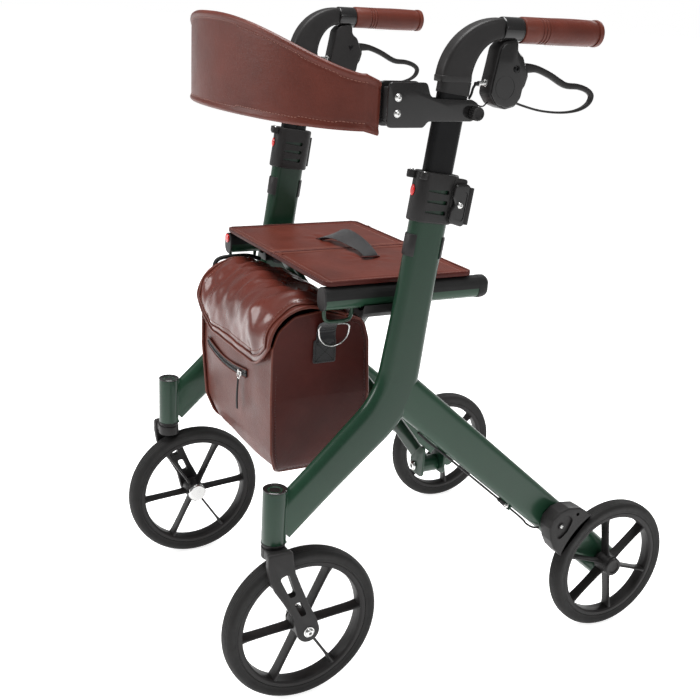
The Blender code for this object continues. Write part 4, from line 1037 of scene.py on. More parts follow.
# ---------------------------------------------------------------- height clamp
def make_height_clamp():
    """Collar round the top of the upright, with three slots in its outer face."""
    low, high = 0.008, 0.0745
    steps = [(low, -0.003), (low + 0.0006, -0.0012), (low + 0.0022, 0.0), (low + 0.03, -0.0004),
             (high - 0.003, 0.0), (high - 0.0008, -0.0012), (high, -0.0034)]
    body = oval_stack("left_height_clamp", [(up, 0.066 + g, 0.035 + g) for up, g in steps], PLASTIC, 14)
    tube_hole = oval_stack("hole", [(up, INNER_W + 0.001, INNER_T + 0.001)
                                    for up in (UPRIGHT_TOP - 0.005, high + 0.01)], PLASTIC)
    frame_hole = oval_stack("hole", [(up, TUBE_W - 0.001, TUBE_T - 0.0006)
                                     for up in (low - 0.01, UPRIGHT_TOP - 0.001)], PLASTIC)
    slots = []
    for k in range(3):
        outline = fillet([(-0.0185, 0.0215 + 0.014 * k), (0.014, 0.02 + 0.014 * k),
                          (0.014, 0.0262 + 0.014 * k), (-0.0185, 0.024 + 0.014 * k)],
                         [0.001, 0.0028, 0.0028, 0.001])
        slots.append(slab("slot", outline, 0.0122, 0.02, PLASTIC, 0.0))
        slots.append(slab("slot", outline, -0.02, -0.0122, PLASTIC, 0.0))
    cut(body, tube_hole, frame_hole, *slots)
    ear_front = turned("ear", [(high - 0.011, 0.0058), (high - 0.009, 0.0062), (high - 0.001, 0.0062)],
                       (-0.006, -0.036, 0), Z, PLASTIC)
    ear_side = turned("ear", [(high - 0.01, 0.005), (high - 0.0085, 0.0055), (high - 0.001, 0.0055)],
                      (0.015, -0.029, 0), Z, PLASTIC)
    block = slab("block", rectangle(0.0185, 0.01, 0.04, 0.0715, 0.004), 0.009, 0.018, PLASTIC, 0.0016)
    dots = [screw("dot", (-0.006, -0.036, high - 0.0012), Z, 0.0034),
            screw("dot", (0.015, -0.029, high - 0.0012), Z, 0.003)]
    place(join(body, ear_front, ear_side, block, *dots), UPRIGHT)
    pair(body, "left_frame", "black_plastic", "left_height_clamp")
    lens = turned("left_clamp_lens", [(0.0, 0.0044), (0.0016, 0.0044), (0.0024, 0.003)], (0.0, 0.0, 0.0),
                  -Y, REFLECTOR)
    lens.data.transform(Matrix.Translation((0.0, -0.0326, 0.048)) @ Matrix.Scale(1.7, 4, Z))
    pair(place(lens, UPRIGHT), "left_frame", "black_plastic")


def make_clamp_lever():
    """Lever of the height clamp with its hollow, hinge pin and rivet."""
    outline = fillet([(0.018, 0.012), (0.04, 0.008), (0.0455, 0.016), (0.0455, 0.058), (0.04, 0.066),
                      (0.018, 0.064), (0.018, 0.046), (0.023, 0.038), (0.018, 0.03)], 0.006)
    lever = slab("left_clamp_lever", outline, 0.0183, 0.0238, GLOSS, 0.002)
    hollow = slab("hollow", fillet([(0.0225, 0.018), (0.037, 0.0155), (0.0395, 0.02), (0.0395, 0.052),
                                    (0.037, 0.056), (0.024, 0.056)], 0.004), 0.0228, 0.025, GLOSS, 0.0)
    cut(lever, hollow)
    pin = turned("pin", [(0.012, 0.004), (0.062, 0.004)], (0.022, 0.0445, 0), Z, PLASTIC)
    rivet = screw("rivet", (0.0226, 0.031, 0.037), X, 0.0046)
    place(join(lever, pin, rivet), UPRIGHT)
    pair(lever, "left_clamp_lever", "black_plastic", "left_clamp_lever")


# ---------------------------------------------------------------- backrest
BRACKET = [(-0.187, 0.829), (-0.133, 0.829), (-0.126, 0.837), (-0.06, 0.837), (-0.05, 0.841),
           (-0.05, 0.86), (-0.06, 0.865), (-0.118, 0.866), (-0.125, 0.87), (-0.131, 0.886),
           (-0.187, 0.886)]


def make_back_bracket():
    """Two plates beside the height tube, the core between them, the bolt and the dome screws."""
    outline = fillet(BRACKET, 0.0065)
    reach = BRACKET_REACH
    near = slab("left_back_bracket", outline, SIDE_X + reach, SIDE_X + reach + BRACKET_T, GLOSS)
    far = slab("far", outline, SIDE_X - reach - BRACKET_T, SIDE_X - reach, GLOSS)
    core = slab("core", rectangle(-0.183, 0.836, -0.133, 0.879, 0.003), SIDE_X - reach - 0.001,
                SIDE_X + reach + 0.001, PLASTIC, 0.0008)
    y, z = BRACKET_BOLT
    bolt = turned("bolt", [(-0.0155, 0.004), (0.0145, 0.004)], (SIDE_X, y, z), X, STEEL)
    pair(join(near, far, core, bolt), "left_handle", "black_plastic", "left_back_bracket")
    screws = []
    for height in (0.847, 0.867):
        washer = turned("washer", [(reach + 0.0036, 0.0052), (reach + 0.0046, 0.0052)],
                        (SIDE_X, BRACKET_SCREW_Y, height), X, STEEL)
        screws += [washer, screw("dome", (SIDE_X + reach + 0.0044, BRACKET_SCREW_Y, height), X, 0.0044),
                   screw("dome", (SIDE_X - reach - 0.0038, BRACKET_SCREW_Y, height), -X, 0.0044)]
    screws[0].name = "left_bracket_screws"
    pair(join(*screws), "left_handle", "steel")


def make_bracket_knob():
    """Knob with twenty ribs and a dished end."""
    y, z = BRACKET_BOLT
    steps = 120
    rings = []
    for x, radius, rib in ((0.0138, 0.0078, 0.0), (0.0146, 0.0088, 0.0), (0.0152, 0.0092, 0.00045),
                           (0.0236, 0.0093, 0.00045), (0.0246, 0.009, 0.0002), (0.0254, 0.0082, 0.0),
                           (0.0254, 0.0066, 0.0), (0.0242, 0.0056, 0.0), (0.0238, 0.0008, 0.0)):
        ring = []
        for k in range(steps):
            angle = 2 * pi * k / steps
            r = radius - rib * (1 - cos(KNOB_RIBS * angle))
            ring.append((SIDE_X + x, y + r * cos(angle), z + r * sin(angle)))
        rings.append(ring)
    pair(loft("left_bracket_knob", rings, PLASTIC), "left_bracket_knob", "black_plastic",
         "left_bracket_knob")


def strap_edges(x):
    """Heights of the strap's lower and upper edge at a place across it."""
    share = min(abs(x) / SIDE_X, 1.0)
    return 0.8295 - 0.0065 * share ** 2, 0.9575 - 0.063 * share ** 2.5


def strap_point(angle):
    """Outer face of the strap in plan, and the way out of it, at an angle from the middle."""
    reach = SIDE_X + 0.002
    def at(a):
        x = reach * sin(a)
        share = min(abs(x) / (SIDE_X + 0.004), 1.0)
        return Vector((x, STRAP_PIVOT_Y - 0.004 - STRAP_BULGE * sqrt(1 - share ** 2), 0))
    here = at(angle)
    way = (at(angle + 0.005) - at(angle - 0.005)).normalized()
    return here, Vector((way.y, -way.x, 0))


def strap_path():
    """Points along the strap in plan.

    Each comes with the way out of it, its end share and its distance to the nearer end.
    """
    last = pi / 2 * 0.97
    bow = [strap_point(-last + 2 * last * i / 116) for i in range(117)]
    corner = bow[-1][0]
    straight = []
    for k in range(9):
        straight.append((Vector((corner.x, STRAP_END_Y + (corner.y - STRAP_END_Y) * k / 9, 0)),
                         1 - k / 9))
    path = [(Vector((-at.x, at.y, 0)), -X, share) for at, share in straight]
    path += [(at, out, 0.0) for at, out in bow]
    path += [(at, X, share) for at, share in straight[::-1]]
    run = [0.0]
    for a, b in zip(path, path[1:]):
        run.append(run[-1] + (b[0] - a[0]).length)
    return [(at, out, share, min(s, run[-1] - s)) for (at, out, share), s in zip(path, run)]


def make_back_strap():
    """One bowed leather strap with rolled hems along the top and bottom and across both ends."""
    rows = 40
    outer, inner = [], []
    path = strap_path()
    steps = len(path) - 1
    for at, out, end_share, to_end in path:
        low, high = strap_edges(at.x)
        low -= 0.0055 * end_share
        high -= 0.0085 * end_share
        end_hem = exp(-((to_end - 0.005) / 0.0038) ** 2)
        front, back = [], []
        for j in range(rows + 1):
            share = 0.5 - 0.5 * cos(pi * j / rows)
            z = low + (high - low) * share
            edge = min(z - low, high - z)
            roll = max(exp(-((edge - STRAP_HEM * 0.45) / (STRAP_HEM * 0.34)) ** 2), end_hem)
            groove = exp(-((edge - STRAP_HEM * 1.1) / 0.0011) ** 2)
            wave = noise.noise(Vector((at.x * 6, z * 7, 0.3))) * 0.0007
            half = 0.0022 * min(1.0, (edge / 0.0016 + 0.1)) ** 0.5 + 0.0019 * roll * min(1.0,
                    edge / 0.0018 + 0.15)
            centre = at - out * 0.0036 + out * wave
            front.append(centre + out * (half - 0.0006 * groove) + Z * z)
            back.append(centre - out * (half - 0.0006 * groove) + Z * z)
        outer.append(front)
        inner.append(back)
    rings = [front + back[::-1] for front, back in zip(outer, inner)]
    strap = loft("back_strap", rings, LEATHER, sharp=70)
    threads = []
    for face in (outer, inner):
        for pick in (0, 1):
            line = []
            for i in range(8, steps - 7):
                edge_rows = sorted(range(rows + 1), key=lambda j: abs(min(face[i][j].z - face[i][0].z,
                                   face[i][rows].z - face[i][j].z) - STRAP_HEM * 1.1))
                wanted = [j for j in edge_rows[:6] if (j > rows / 2) == bool(pick)]
                line.append(face[i][wanted[0]])
            threads.append(stitches("thread", line, THREAD, *STITCH))
    threads[0].name = "back_strap_thread"
    thread = join(*threads)
    for piece in (strap, thread):
        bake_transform(piece)
    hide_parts("left_back_strap", "right_back_strap")


# ---------------------------------------------------------------- seat
def inflate(pad, voxel, pressure, cap, held):
    """Remesh a slab finely and let cloth pressure puff it up; held(point) says which points stay."""
    step = pad.modifiers.new("remesh", "REMESH")
    step.mode = "VOXEL"
    step.voxel_size = voxel
    apply_modifiers(pad)
    start = [v.co.copy() for v in pad.data.vertices]
    group = pad.vertex_groups.new(name="held")
    group.add([i for i, co in enumerate(start) if held(co)], 1.0, "REPLACE")
    cloth = pad.modifiers.new("cloth", "CLOTH")
    cloth.settings.quality = 6
    cloth.settings.mass = 0.25
    cloth.settings.tension_stiffness = 18
    cloth.settings.compression_stiffness = 18
    cloth.settings.bending_stiffness = 0.6
    cloth.settings.use_pressure = True
    cloth.settings.uniform_pressure_force = pressure
    cloth.settings.effector_weights.gravity = 0.0
    cloth.settings.vertex_group_mass = "held"
    cloth.collision_settings.use_collision = False
    cloth.point_cache.frame_start = 1
    cloth.point_cache.frame_end = CLOTH_FRAMES
    scene = bpy.context.scene
    for now in range(1, CLOTH_FRAMES + 1):
        scene.frame_set(now)
    graph = bpy.context.evaluated_depsgraph_get()
    puffed = pad.evaluated_get(graph).data
    moved = [v.co.copy() for v in puffed.vertices]
    pad.modifiers.remove(cloth)
    pad.vertex_groups.clear()
    scene.frame_set(1)
    for v, before, after in zip(pad.data.vertices, start, moved):
        shift = after - before
        if shift.length > cap:
            shift = shift.normalized() * cap
        v.co = before + shift
    fine = pad.modifiers.new("fine", "SUBSURF")
    fine.levels = fine.render_levels = 1
    apply_modifiers(pad)
    pad.data.shade_smooth()
    return pad


def apply_modifiers(made):
    """Keep the modified mesh and drop the modifiers."""
    bpy.context.view_layer.update()
    graph = bpy.context.evaluated_depsgraph_get()
    result = bpy.data.meshes.new_from_object(made.evaluated_get(graph))
    made.modifiers.clear()
    made.data = result


def edge_distance(co, outline):
    """Distance from a point to the nearest side of a rectangle."""
    low_x, high_x, low_y, high_y = outline
    return min(co.x - low_x, high_x - co.x, co.y - low_y, high_y - co.y)


def make_seat_pad():
    """Left padded panel: puffed by cloth pressure inside its stitched border."""
    low_x, high_x = 0.0012, SEAT_HIGH.x - 0.0016
    low_y, high_y = SEAT_LOW.y + 0.002, SEAT_HIGH.y - 0.0016
    bottom, top = SEAT_LOW.z + 0.0008, SEAT_TOP - 0.0016
    outline = rectangle(low_x, low_y, high_x, high_y, [0.002, 0.012, 0.012, 0.002])
    pad = loft("left_seat_pad", [[(p.x, p.y, bottom) for p in outline],
                                 [(p.x, p.y, top) for p in outline]], LEATHER)
    frame_of = (low_x, high_x, low_y, high_y)

    def held(co):
        near_slot = (Vector((co.x, co.y)) - Vector((STRAP_SLOT_X, LIFT_MIDDLE_Y))).length < 0.013
        return edge_distance(co, frame_of) < SEAT_HEM or near_slot or co.z < bottom + 0.001
    inflate(pad, 0.004, 4.0, 0.005, held)
    for v in pad.data.vertices:
        if v.co.z < bottom + 0.002:
            continue
        edge = edge_distance(v.co, frame_of)
        v.co.z -= 0.0012 * exp(-((edge - SEAT_HEM) / 0.0016) ** 2)
        v.co.z += 0.0009 * exp(-((edge - SEAT_HEM * 0.45) / 0.004) ** 2)
        away = Vector((v.co.x - STRAP_SLOT_X, v.co.y - LIFT_MIDDLE_Y))
        ripple = 0.5 + 0.5 * cos(7 * atan2(away.y, away.x) + 0.6)
        v.co.z -= 0.003 * exp(-(away.length / 0.017) ** 2)
        v.co.z += 0.0016 * ripple * exp(-((away.length - 0.026) / 0.014) ** 2)
        v.co.z += 0.001 * noise.noise(Vector((v.co.x * 17, v.co.y * 13, 2.0)))
        v.co.z = min(v.co.z, SEAT_TOP + 0.0032)
    return pad, frame_of


def seat_surface(pad):
    """Height of the pad's upper face at a point, read from its mesh."""
    tree = BVHTree.FromPolygons([v.co.copy() for v in pad.data.vertices],
                                [tuple(p.vertices) for p in pad.data.polygons])

    def height(x, y):
        hit = tree.ray_cast(Vector((x, y, 1.0)), Vector((0, 0, -1)))
        return hit[0].z if hit[0] else SEAT_TOP
    return height


def make_seat():
    """Two padded panels with their thread, binding, board and crease."""
    pad, frame_of = make_seat_pad()
    height = seat_surface(pad)
    left, right = pair(pad, "left_seat", "leather", "left_seat_panel")

    make_seat_thread(height, frame_of)
    make_seat_binding(frame_of)
    make_seat_board(frame_of)
    make_seat_crease(frame_of)


def make_seat_thread(height, frame_of):
    """Stitching just inside the border and along the crease, laid on the pad."""
    low_x, high_x, low_y, high_y = frame_of
    corners = [(low_x, low_y + SEAT_HEM), (high_x - SEAT_HEM, low_y + SEAT_HEM),
               (high_x - SEAT_HEM, high_y - SEAT_HEM), (low_x, high_y - SEAT_HEM)]
    lines = []
    for a, b in zip(corners, corners[1:]):
        line = []
        for k in range(61):
            p = Vector(a).lerp(Vector(b), k / 60)
            line.append(Vector((p.x, p.y, height(p.x, p.y) + THREAD_LIFT)))
        lines.append(stitches("thread", line, THREAD, *SEAT_STITCH))
    line = []
    for k in range(61):
        y = low_y + (high_y - low_y) * k / 60
        on_pad = low_y + (high_y - low_y) * min(max(k / 60, 0.01), 0.99)
        line.append(Vector((CREASE_THREAD_X, y, height(CREASE_THREAD_X, on_pad) + THREAD_LIFT)))
    lines.append(stitches("thread", line, THREAD, *SEAT_STITCH))
    lines[0].name = "left_seat_thread"
    pair(join(*lines), "left_seat", "leather")


def make_seat_binding(frame_of):
    """Strip sewn round the pad's edge with a row of slanting stitches."""
    low_x, high_x, low_y, high_y = frame_of
    rim = rectangle(low_x, low_y, high_x, high_y, [0.001, 0.012, 0.012, 0.001], 8)
    start = min(range(len(rim)), key=lambda i: (rim[i] - Vector((low_x, low_y))).length)
    route = [rim[(start + k) % len(rim)] for k in range(len(rim))]
    if (route[1] - route[0]).x < 0.0005:
        route = [route[0]] + route[:0:-1]
    route = [p for p in route if p.x > low_x + 0.0005 or p in (route[0], route[-1])]
    middle_z = (SEAT_LOW.z + SEAT_TOP) / 2
    fine = []
    for a, b in zip(route, route[1:]):
        count = max(int((b - a).length / 0.004), 1)
        fine += [a.lerp(b, k / count) for k in range(count)]
    fine.append(route[-1])
    # The binding is in the darker leather: painted shade along the seat's side.
    binding = sweep("left_seat_binding", [(p.x, p.y, middle_z) for p in fine],
                    rounded_box(SEAT_TOP - SEAT_LOW.z - 0.0002, 0.0042, 2.6, 20), SHADED_LEATHER, side=Z)
    whip = stitches("whip", [(p.x, p.y - (0.0008 if p.y < low_y + 0.001 else 0), SEAT_TOP - 0.0004)
                             for p in fine], THREAD, 0.0062, 0.0062, 0.0004, slant=Vector((0, 0.9, 0)))
    pair(join(binding, whip), "left_seat", "leather", "left_seat_panel")


def make_seat_board(frame_of):
    """Stiff sheet under the pad."""
    low_y, high_y = frame_of[2:]
    under = slab("left_seat_board", rectangle(low_y + 0.012, SEAT_LOW.z - 0.0006, high_y - 0.012,
                                              SEAT_LOW.z + 0.002, 0.0006), 0.012,
                 RAIL_X - RAIL_W / 2 - 0.004, RUBBER, 0.0004)
    pair(under, "left_seat", "webbing")


def make_seat_crease(frame_of):
    """Strip of leather that bridges the two pads and hinges them."""
    low_y, high_y = frame_of[2:]
    width = 0.0145
    rings = []
    for k in range(61):
        y = low_y + 0.001 + (high_y - low_y - 0.002) * k / 60
        ring = []
        for share in [i / 8 for i in range(9)]:
            x = width * (2 * share - 1)
            dip = 0.0016 * exp(-(x / 0.0022) ** 2)
            ring.append((x, y, SEAT_TOP - 0.001 - dip + 0.0004
                         * noise.noise(Vector((x * 40, y * 30, 5)))))
        rings.append(ring + [(x, y, SEAT_TOP - 0.0042) for x, _, _ in ring[::-1]])
    crease = loft("seat_crease_cover", rings, LEATHER)
    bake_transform(crease)


def make_lift_strap():
    """Webbing handle that comes up through two slots, arches over the crease and twists a little."""
    stations = [(0.0665, -0.002, 0), (0.064, 0.0022, 2), (0.052, 0.0075, 8), (0.034, 0.012, 22),
                (0.014, 0.015, 38), (-0.006, 0.0165, 44), (-0.026, 0.015, 30), (-0.046, 0.0095, 12),
                (-0.0625, 0.003, 2), (-0.0665, -0.002, 0)]
    line = smooth([(x, LIFT_MIDDLE_Y + LIFT_SLANT * x, SEAT_TOP + lift) for x, lift, turn in stations], 9)
    turns = smooth([(turn, 0, 0) for x, lift, turn in stations], 9)

    def section(i):
        angle = -radians(turns[i].x)
        half = [(a, b) for a, b in rounded_box(0.024, 0.0022, 5.0, 36)]
        return [(a * cos(angle) - b * sin(angle), a * sin(angle) + b * cos(angle)) for a, b in half]
    strap = sweep("seat_lift_webbing", line, section, WEBBING, side=Y)
    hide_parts("seat_lift_strap")
    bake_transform(strap)
    for x, body in ((STRAP_SLOT_X, "left_seat"), (-STRAP_SLOT_X, "right_seat")):
        y = LIFT_MIDDLE_Y + LIFT_SLANT * x
        rim = [(x + 0.003 * cos(a), y + 0.015 * sin(a), SEAT_TOP + 0.0002) for a in
               [2 * pi * k / 32 for k in range(32)]]
        # The slot rim is in the darker leather: painted shade at the slot.
        lip = sweep(f"{body}_slot", rim, disc(0.0011, 10), SHADED_LEATHER, closed=True)
        add_piece(lip, body, "leather")


# ---------------------------------------------------------------- rails and braces
def make_rail():
    """Oval rail with the wire loop below it that carries the bag."""
    thin, tall = RAIL_W - 0.0012, RAIL_H - 0.0012
    rail = sweep("left_rail_tube", [(RAIL_X, RAIL_FRONT + 0.002, RAIL_Z),
                                    (RAIL_X, RAIL_BACK - 0.008, RAIL_Z)], oval(tall, thin, 14), GREEN,
                 side=Z)
    low = RAIL_Z - RAIL_H / 2
    hook = rod("hook", [(RAIL_X, -0.23, low + 0.004), (RAIL_X, -0.229, low - 0.009),
                        (RAIL_X, -0.2235, low - 0.016), (RAIL_X, -0.208, low - 0.0172),
                        (RAIL_X, -0.1925, low - 0.0162), (RAIL_X, -0.187, low - 0.009),
                        (RAIL_X, -0.186, low + 0.004)], 0.0027, GREEN, 14)
    pair(join(rail, hook), "right_brace", "green_paint", "left_seat_rail")


def make_rail_sleeve():
    """Ribbed rubber half sleeve over the rail."""
    thin, tall = RAIL_W - 0.0012, RAIL_H - 0.0012
    outer, inner = RAIL_W / 2, thin / 2 - 0.0002
    lift = (tall - thin) / 2
    section = []
    for k in range(49):
        angle = pi * k / 48
        rib = 0.00032 * max(0.0, cos(angle * 15)) ** 6 if 3 < k < 45 else 0.0
        section.append((lift + (outer - rib) * sin(angle), (outer - rib) * cos(angle)))
    section = [(lift - 0.0045, outer)] + section + [(lift - 0.0045, -outer)]
    section += [(lift - 0.0045, -inner)] + [(lift + inner * sin(pi * k / 24), -inner * cos(pi * k / 24))
                                            for k in range(25)] + [(lift - 0.0045, inner)]
    sleeve = sweep("left_rail_sleeve", [(RAIL_X, RAIL_FRONT + 0.0018, RAIL_Z),
                                        (RAIL_X, RAIL_BACK - 0.006, RAIL_Z)], section, RUBBER, side=Z)
    pair(sleeve, "right_brace", "rubber")


def make_rail_caps():
    """Plastic cap on the front of each rail and rubber cap on its back."""
    rings = []
    for y, less in ((RAIL_FRONT + 0.003, 0.001), (RAIL_FRONT + 0.0024, -0.0004),
                    (RAIL_FRONT + 0.0008, -0.0004), (RAIL_FRONT + 0.0001, 0.001), (RAIL_FRONT, 0.003)):
        rings.append([(RAIL_X + b, y, RAIL_Z + a) for a, b in oval(RAIL_H - less, RAIL_W - less, 14)])
    front_cap = loft("left_rail_front_cap", rings, PLASTIC)
    pair(front_cap, "right_brace", "black_plastic")
    rings = []
    for k in range(9):
        angle = pi / 2 * k / 8
        less = 0.012 * (1 - cos(angle))
        rings.append([(RAIL_X + b, RAIL_BACK - 0.0125 + 0.0125 * sin(angle), RAIL_Z + a)
                      for a, b in oval(RAIL_H + 0.0006 - less, RAIL_W + 0.0004 - less, 14)])
    rings.insert(0, [(RAIL_X + b, RAIL_BACK - 0.018, RAIL_Z + a)
                     for a, b in oval(RAIL_H + 0.0006, RAIL_W + 0.0004, 14)])
    pair(loft("left_rail_rear_cap", rings, RUBBER), "right_brace", "black_plastic")

def make_reflector():
    """Round red reflector on the far rail's front cap."""
    lens = turned("reflector", [(0.0, 0.0072), (0.0022, 0.0072), (0.003, 0.006)],
                  (RAIL_X + 0.0005, RAIL_FRONT + 0.0002, RAIL_Z + 0.0085), -Y, REFLECTOR)
    lens.name = "right_rail_reflector"
    lens.data.transform(Matrix.Translation((-2 * RAIL_X, 0, 0)))
    add_piece(lens, "left_brace", "black_plastic")


def brace_points(sidestep):
    """Lower pivot, crossing and upper end of a brace."""
    middle = Vector((0, (PIVOT.y + BRACE_TOP_Y) / 2 + sidestep, CROSSING.z))
    return PIVOT.copy(), middle, Vector((-RAIL_X, BRACE_TOP_Y, RAIL_Z))


def make_brace(name, sidestep):
    """One bent oval brace from its lower pivot to the rail."""
    pivot, middle, top = brace_points(sidestep)
    line = [pivot.lerp(middle, 0.02), pivot.lerp(middle, 0.35), pivot.lerp(middle, 0.86), middle,
            middle.lerp(top, 0.14), middle.lerp(top, 0.5), middle.lerp(top, 0.89)]
    for k in (2, 4):
        line[k] = Vector((line[k].x, middle.y, line[k].z))
    along = (top - pivot).normalized()
    wide = along.cross(Y).normalized()
    tube = sweep(name, smooth(line, 6), oval(BRACE_W, BRACE_T, 10), GREEN, side=wide)
    boss = turned("boss", [(-0.0155, 0.0125), (0.0155, 0.0125)], PIVOT, Y, GREEN)
    low = RAIL_Z - RAIL_H / 2
    wrap = []
    for k in range(13):
        angle = pi * 1.12 + pi * 0.76 * k / 12
        wrap.append((-RAIL_X + 0.015 * cos(angle), RAIL_Z - 0.004 + 0.015 * sin(angle) - 0.0008))
    outline = wrap + [(-RAIL_X + 0.02, low - 0.004), (-RAIL_X + 0.019, low - 0.013),
                      (-RAIL_X - 0.006, low - 0.0135), (-RAIL_X - 0.0125, low - 0.006)]
    saddle = slab("saddle", fillet([(-x, z) for x, z in outline], 0.0012, 2), BRACE_TOP_Y - 0.024,
                  BRACE_TOP_Y + 0.024, PLASTIC, 0.0012)
    place(saddle, ACROSS_TO_ALONG)
    ring = turned("ring", [(middle.y - 0.0074, 0.015), (middle.y + 0.0074, 0.015)], (0, 0, middle.z), Y,
                  PLASTIC)
    return join(tube, boss, saddle, ring)


def make_braces():
    """The two crossed braces and the bolt through their crossing."""
    front = make_brace("left_brace_tube", -BRACE_SIDESTEP)
    add_piece(front, "left_brace", "green_paint", "left_brace")
    twin = make_brace("left_other", BRACE_SIDESTEP)
    rear = mirrored(twin, "right_brace_tube")
    bpy.data.objects.remove(twin, do_unlink=True)
    add_piece(rear, "right_brace", "green_paint", "right_brace")
    pin = turned("brace_crossing_bolt", [(-0.0158, 0.0045), (0.0158, 0.0045)],
                 (0, CROSSING.y, CROSSING.z), Y, STEEL)
    heads = []
    for way in (-1, 1):
        washer = turned("washer", [(0.0158, 0.0078), (0.017, 0.0078)], CROSSING, Y * way, STEEL)
        heads += [washer, screw("head", CROSSING + Y * way * 0.0168, Y * way, 0.0066)]
    add_piece(join(pin, *heads), "left_brace", "steel", "brace_bolt")


def make_rail_rest():
    """Stop on the side frame with its bolts, and the finger below the rail."""
    inner = SIDE_X - TUBE_T / 2 - 0.0003
    outline = fillet([(-0.135, 0.54), (-0.095, 0.535), (-0.095, 0.564), (-0.103, 0.572), (-0.12, 0.572),
                      (-0.135, 0.56)], 0.006)
    arm = slab("left_rail_stop", outline, inner - 0.008, inner, PLASTIC, 0.0016)
    top = RAIL_Z - RAIL_H / 2 - 0.0003
    finger = slab("finger", rectangle(-0.12, 0.556, -0.096, top, 0.0025), RAIL_X - 0.006, inner - 0.001,
                  PLASTIC, 0.0016)
    bolts = [screw("bolt", (inner - 0.0078, y, z), -X, 0.0036)
             for y, z in ((-0.127, 0.549), (-0.103, 0.545))]
    pair(join(arm, finger, *bolts), "left_frame", "black_plastic", "left_rail_rest")


# ---------------------------------------------------------------- wheels, forks, axles, brakes
def make_tyre(name, centre, radius, width, body, node):
    """Rounded tread with fine grooves round it, and a lip where it grips the rim."""
    inner = radius - TYRE_DEPTH
    half = width / 2
    profile = []
    for k in range(41):
        share = -1 + 2 * k / 40
        x = half * share * (0.62 + 0.38 * abs(share)) if abs(share) < 1 else half * share
        crown = radius - 0.0062 * abs(x / half) ** 3.2
        groove = 0.00045 if k % 4 == 2 and abs(x) < half * 0.8 else 0.0
        profile.append((x, crown - groove))
    side = [(half, radius - 0.0085), (half * 0.99, inner + 0.006), (half * 0.95, inner + 0.0052),
            (half * 0.95, inner + 0.003), (half * 0.86, inner)]
    profile = [(-x, r) for x, r in side[::-1]] + profile + side
    tyre = lathe(name, profile, centre, X, TYRE, 144, closed=True, sharp=55)
    pair(tyre, body, "tyre", node)


def make_rim(name, centre, radius, width, hub_inside, hub_outside, first_spoke, body, node):
    """Rim ring, spokes and hub of one wheel."""
    outer = radius - TYRE_DEPTH - GAP
    inner = outer - RIM_DEPTH
    half = width * 0.43
    ring = turned_ring(name, [(-half, inner + 0.0035), (-half, outer), (-half * 0.72, outer),
                              (half * 0.72, outer), (half, outer), (half, inner + 0.0035),
                              (half * 0.8, inner + 0.0008), (half * 0.3, inner), (-half * 0.3, inner),
                              (-half * 0.8, inner + 0.0008)], centre, X, PLASTIC, 0.0009, 144)
    hub = turned("hub", [(-hub_inside, 0.012), (-hub_inside + 0.002, 0.015), (-half * 0.8, 0.0165),
                         (0.0, 0.0172), (half * 0.8, 0.0165), (hub_outside - 0.0015, 0.0158),
                         (hub_outside, 0.0145)], centre, X, PLASTIC, 0.001)
    parts = [hub]
    blade = width * 0.38
    for k in range(SPOKES):
        rings = []
        for share in [i / 10 for i in range(11)]:
            at = 0.012 + (inner + 0.0015 - 0.012) * share
            flare = 0.004 * max(0.0, (share - 0.82) / 0.18) ** 2 + 0.0025 * max(0.0,
                    (0.22 - share) / 0.22) ** 2
            thick = SPOKE_T + flare
            rings.append([(a, b, at) for a, b in rounded_box(2 * blade - 0.002 * sin(pi * share), thick,
                                                             3.2, 24)])
        spoke = loft("spoke", rings, PLASTIC, sharp=60)
        turn = Matrix.Rotation(pi / 2 - first_spoke - 2 * pi * k / SPOKES, 4, "X")
        place(spoke, Matrix.Translation(centre) @ turn)
        parts.append(spoke)
    pair(join(ring, *parts), body, "black_plastic", node)


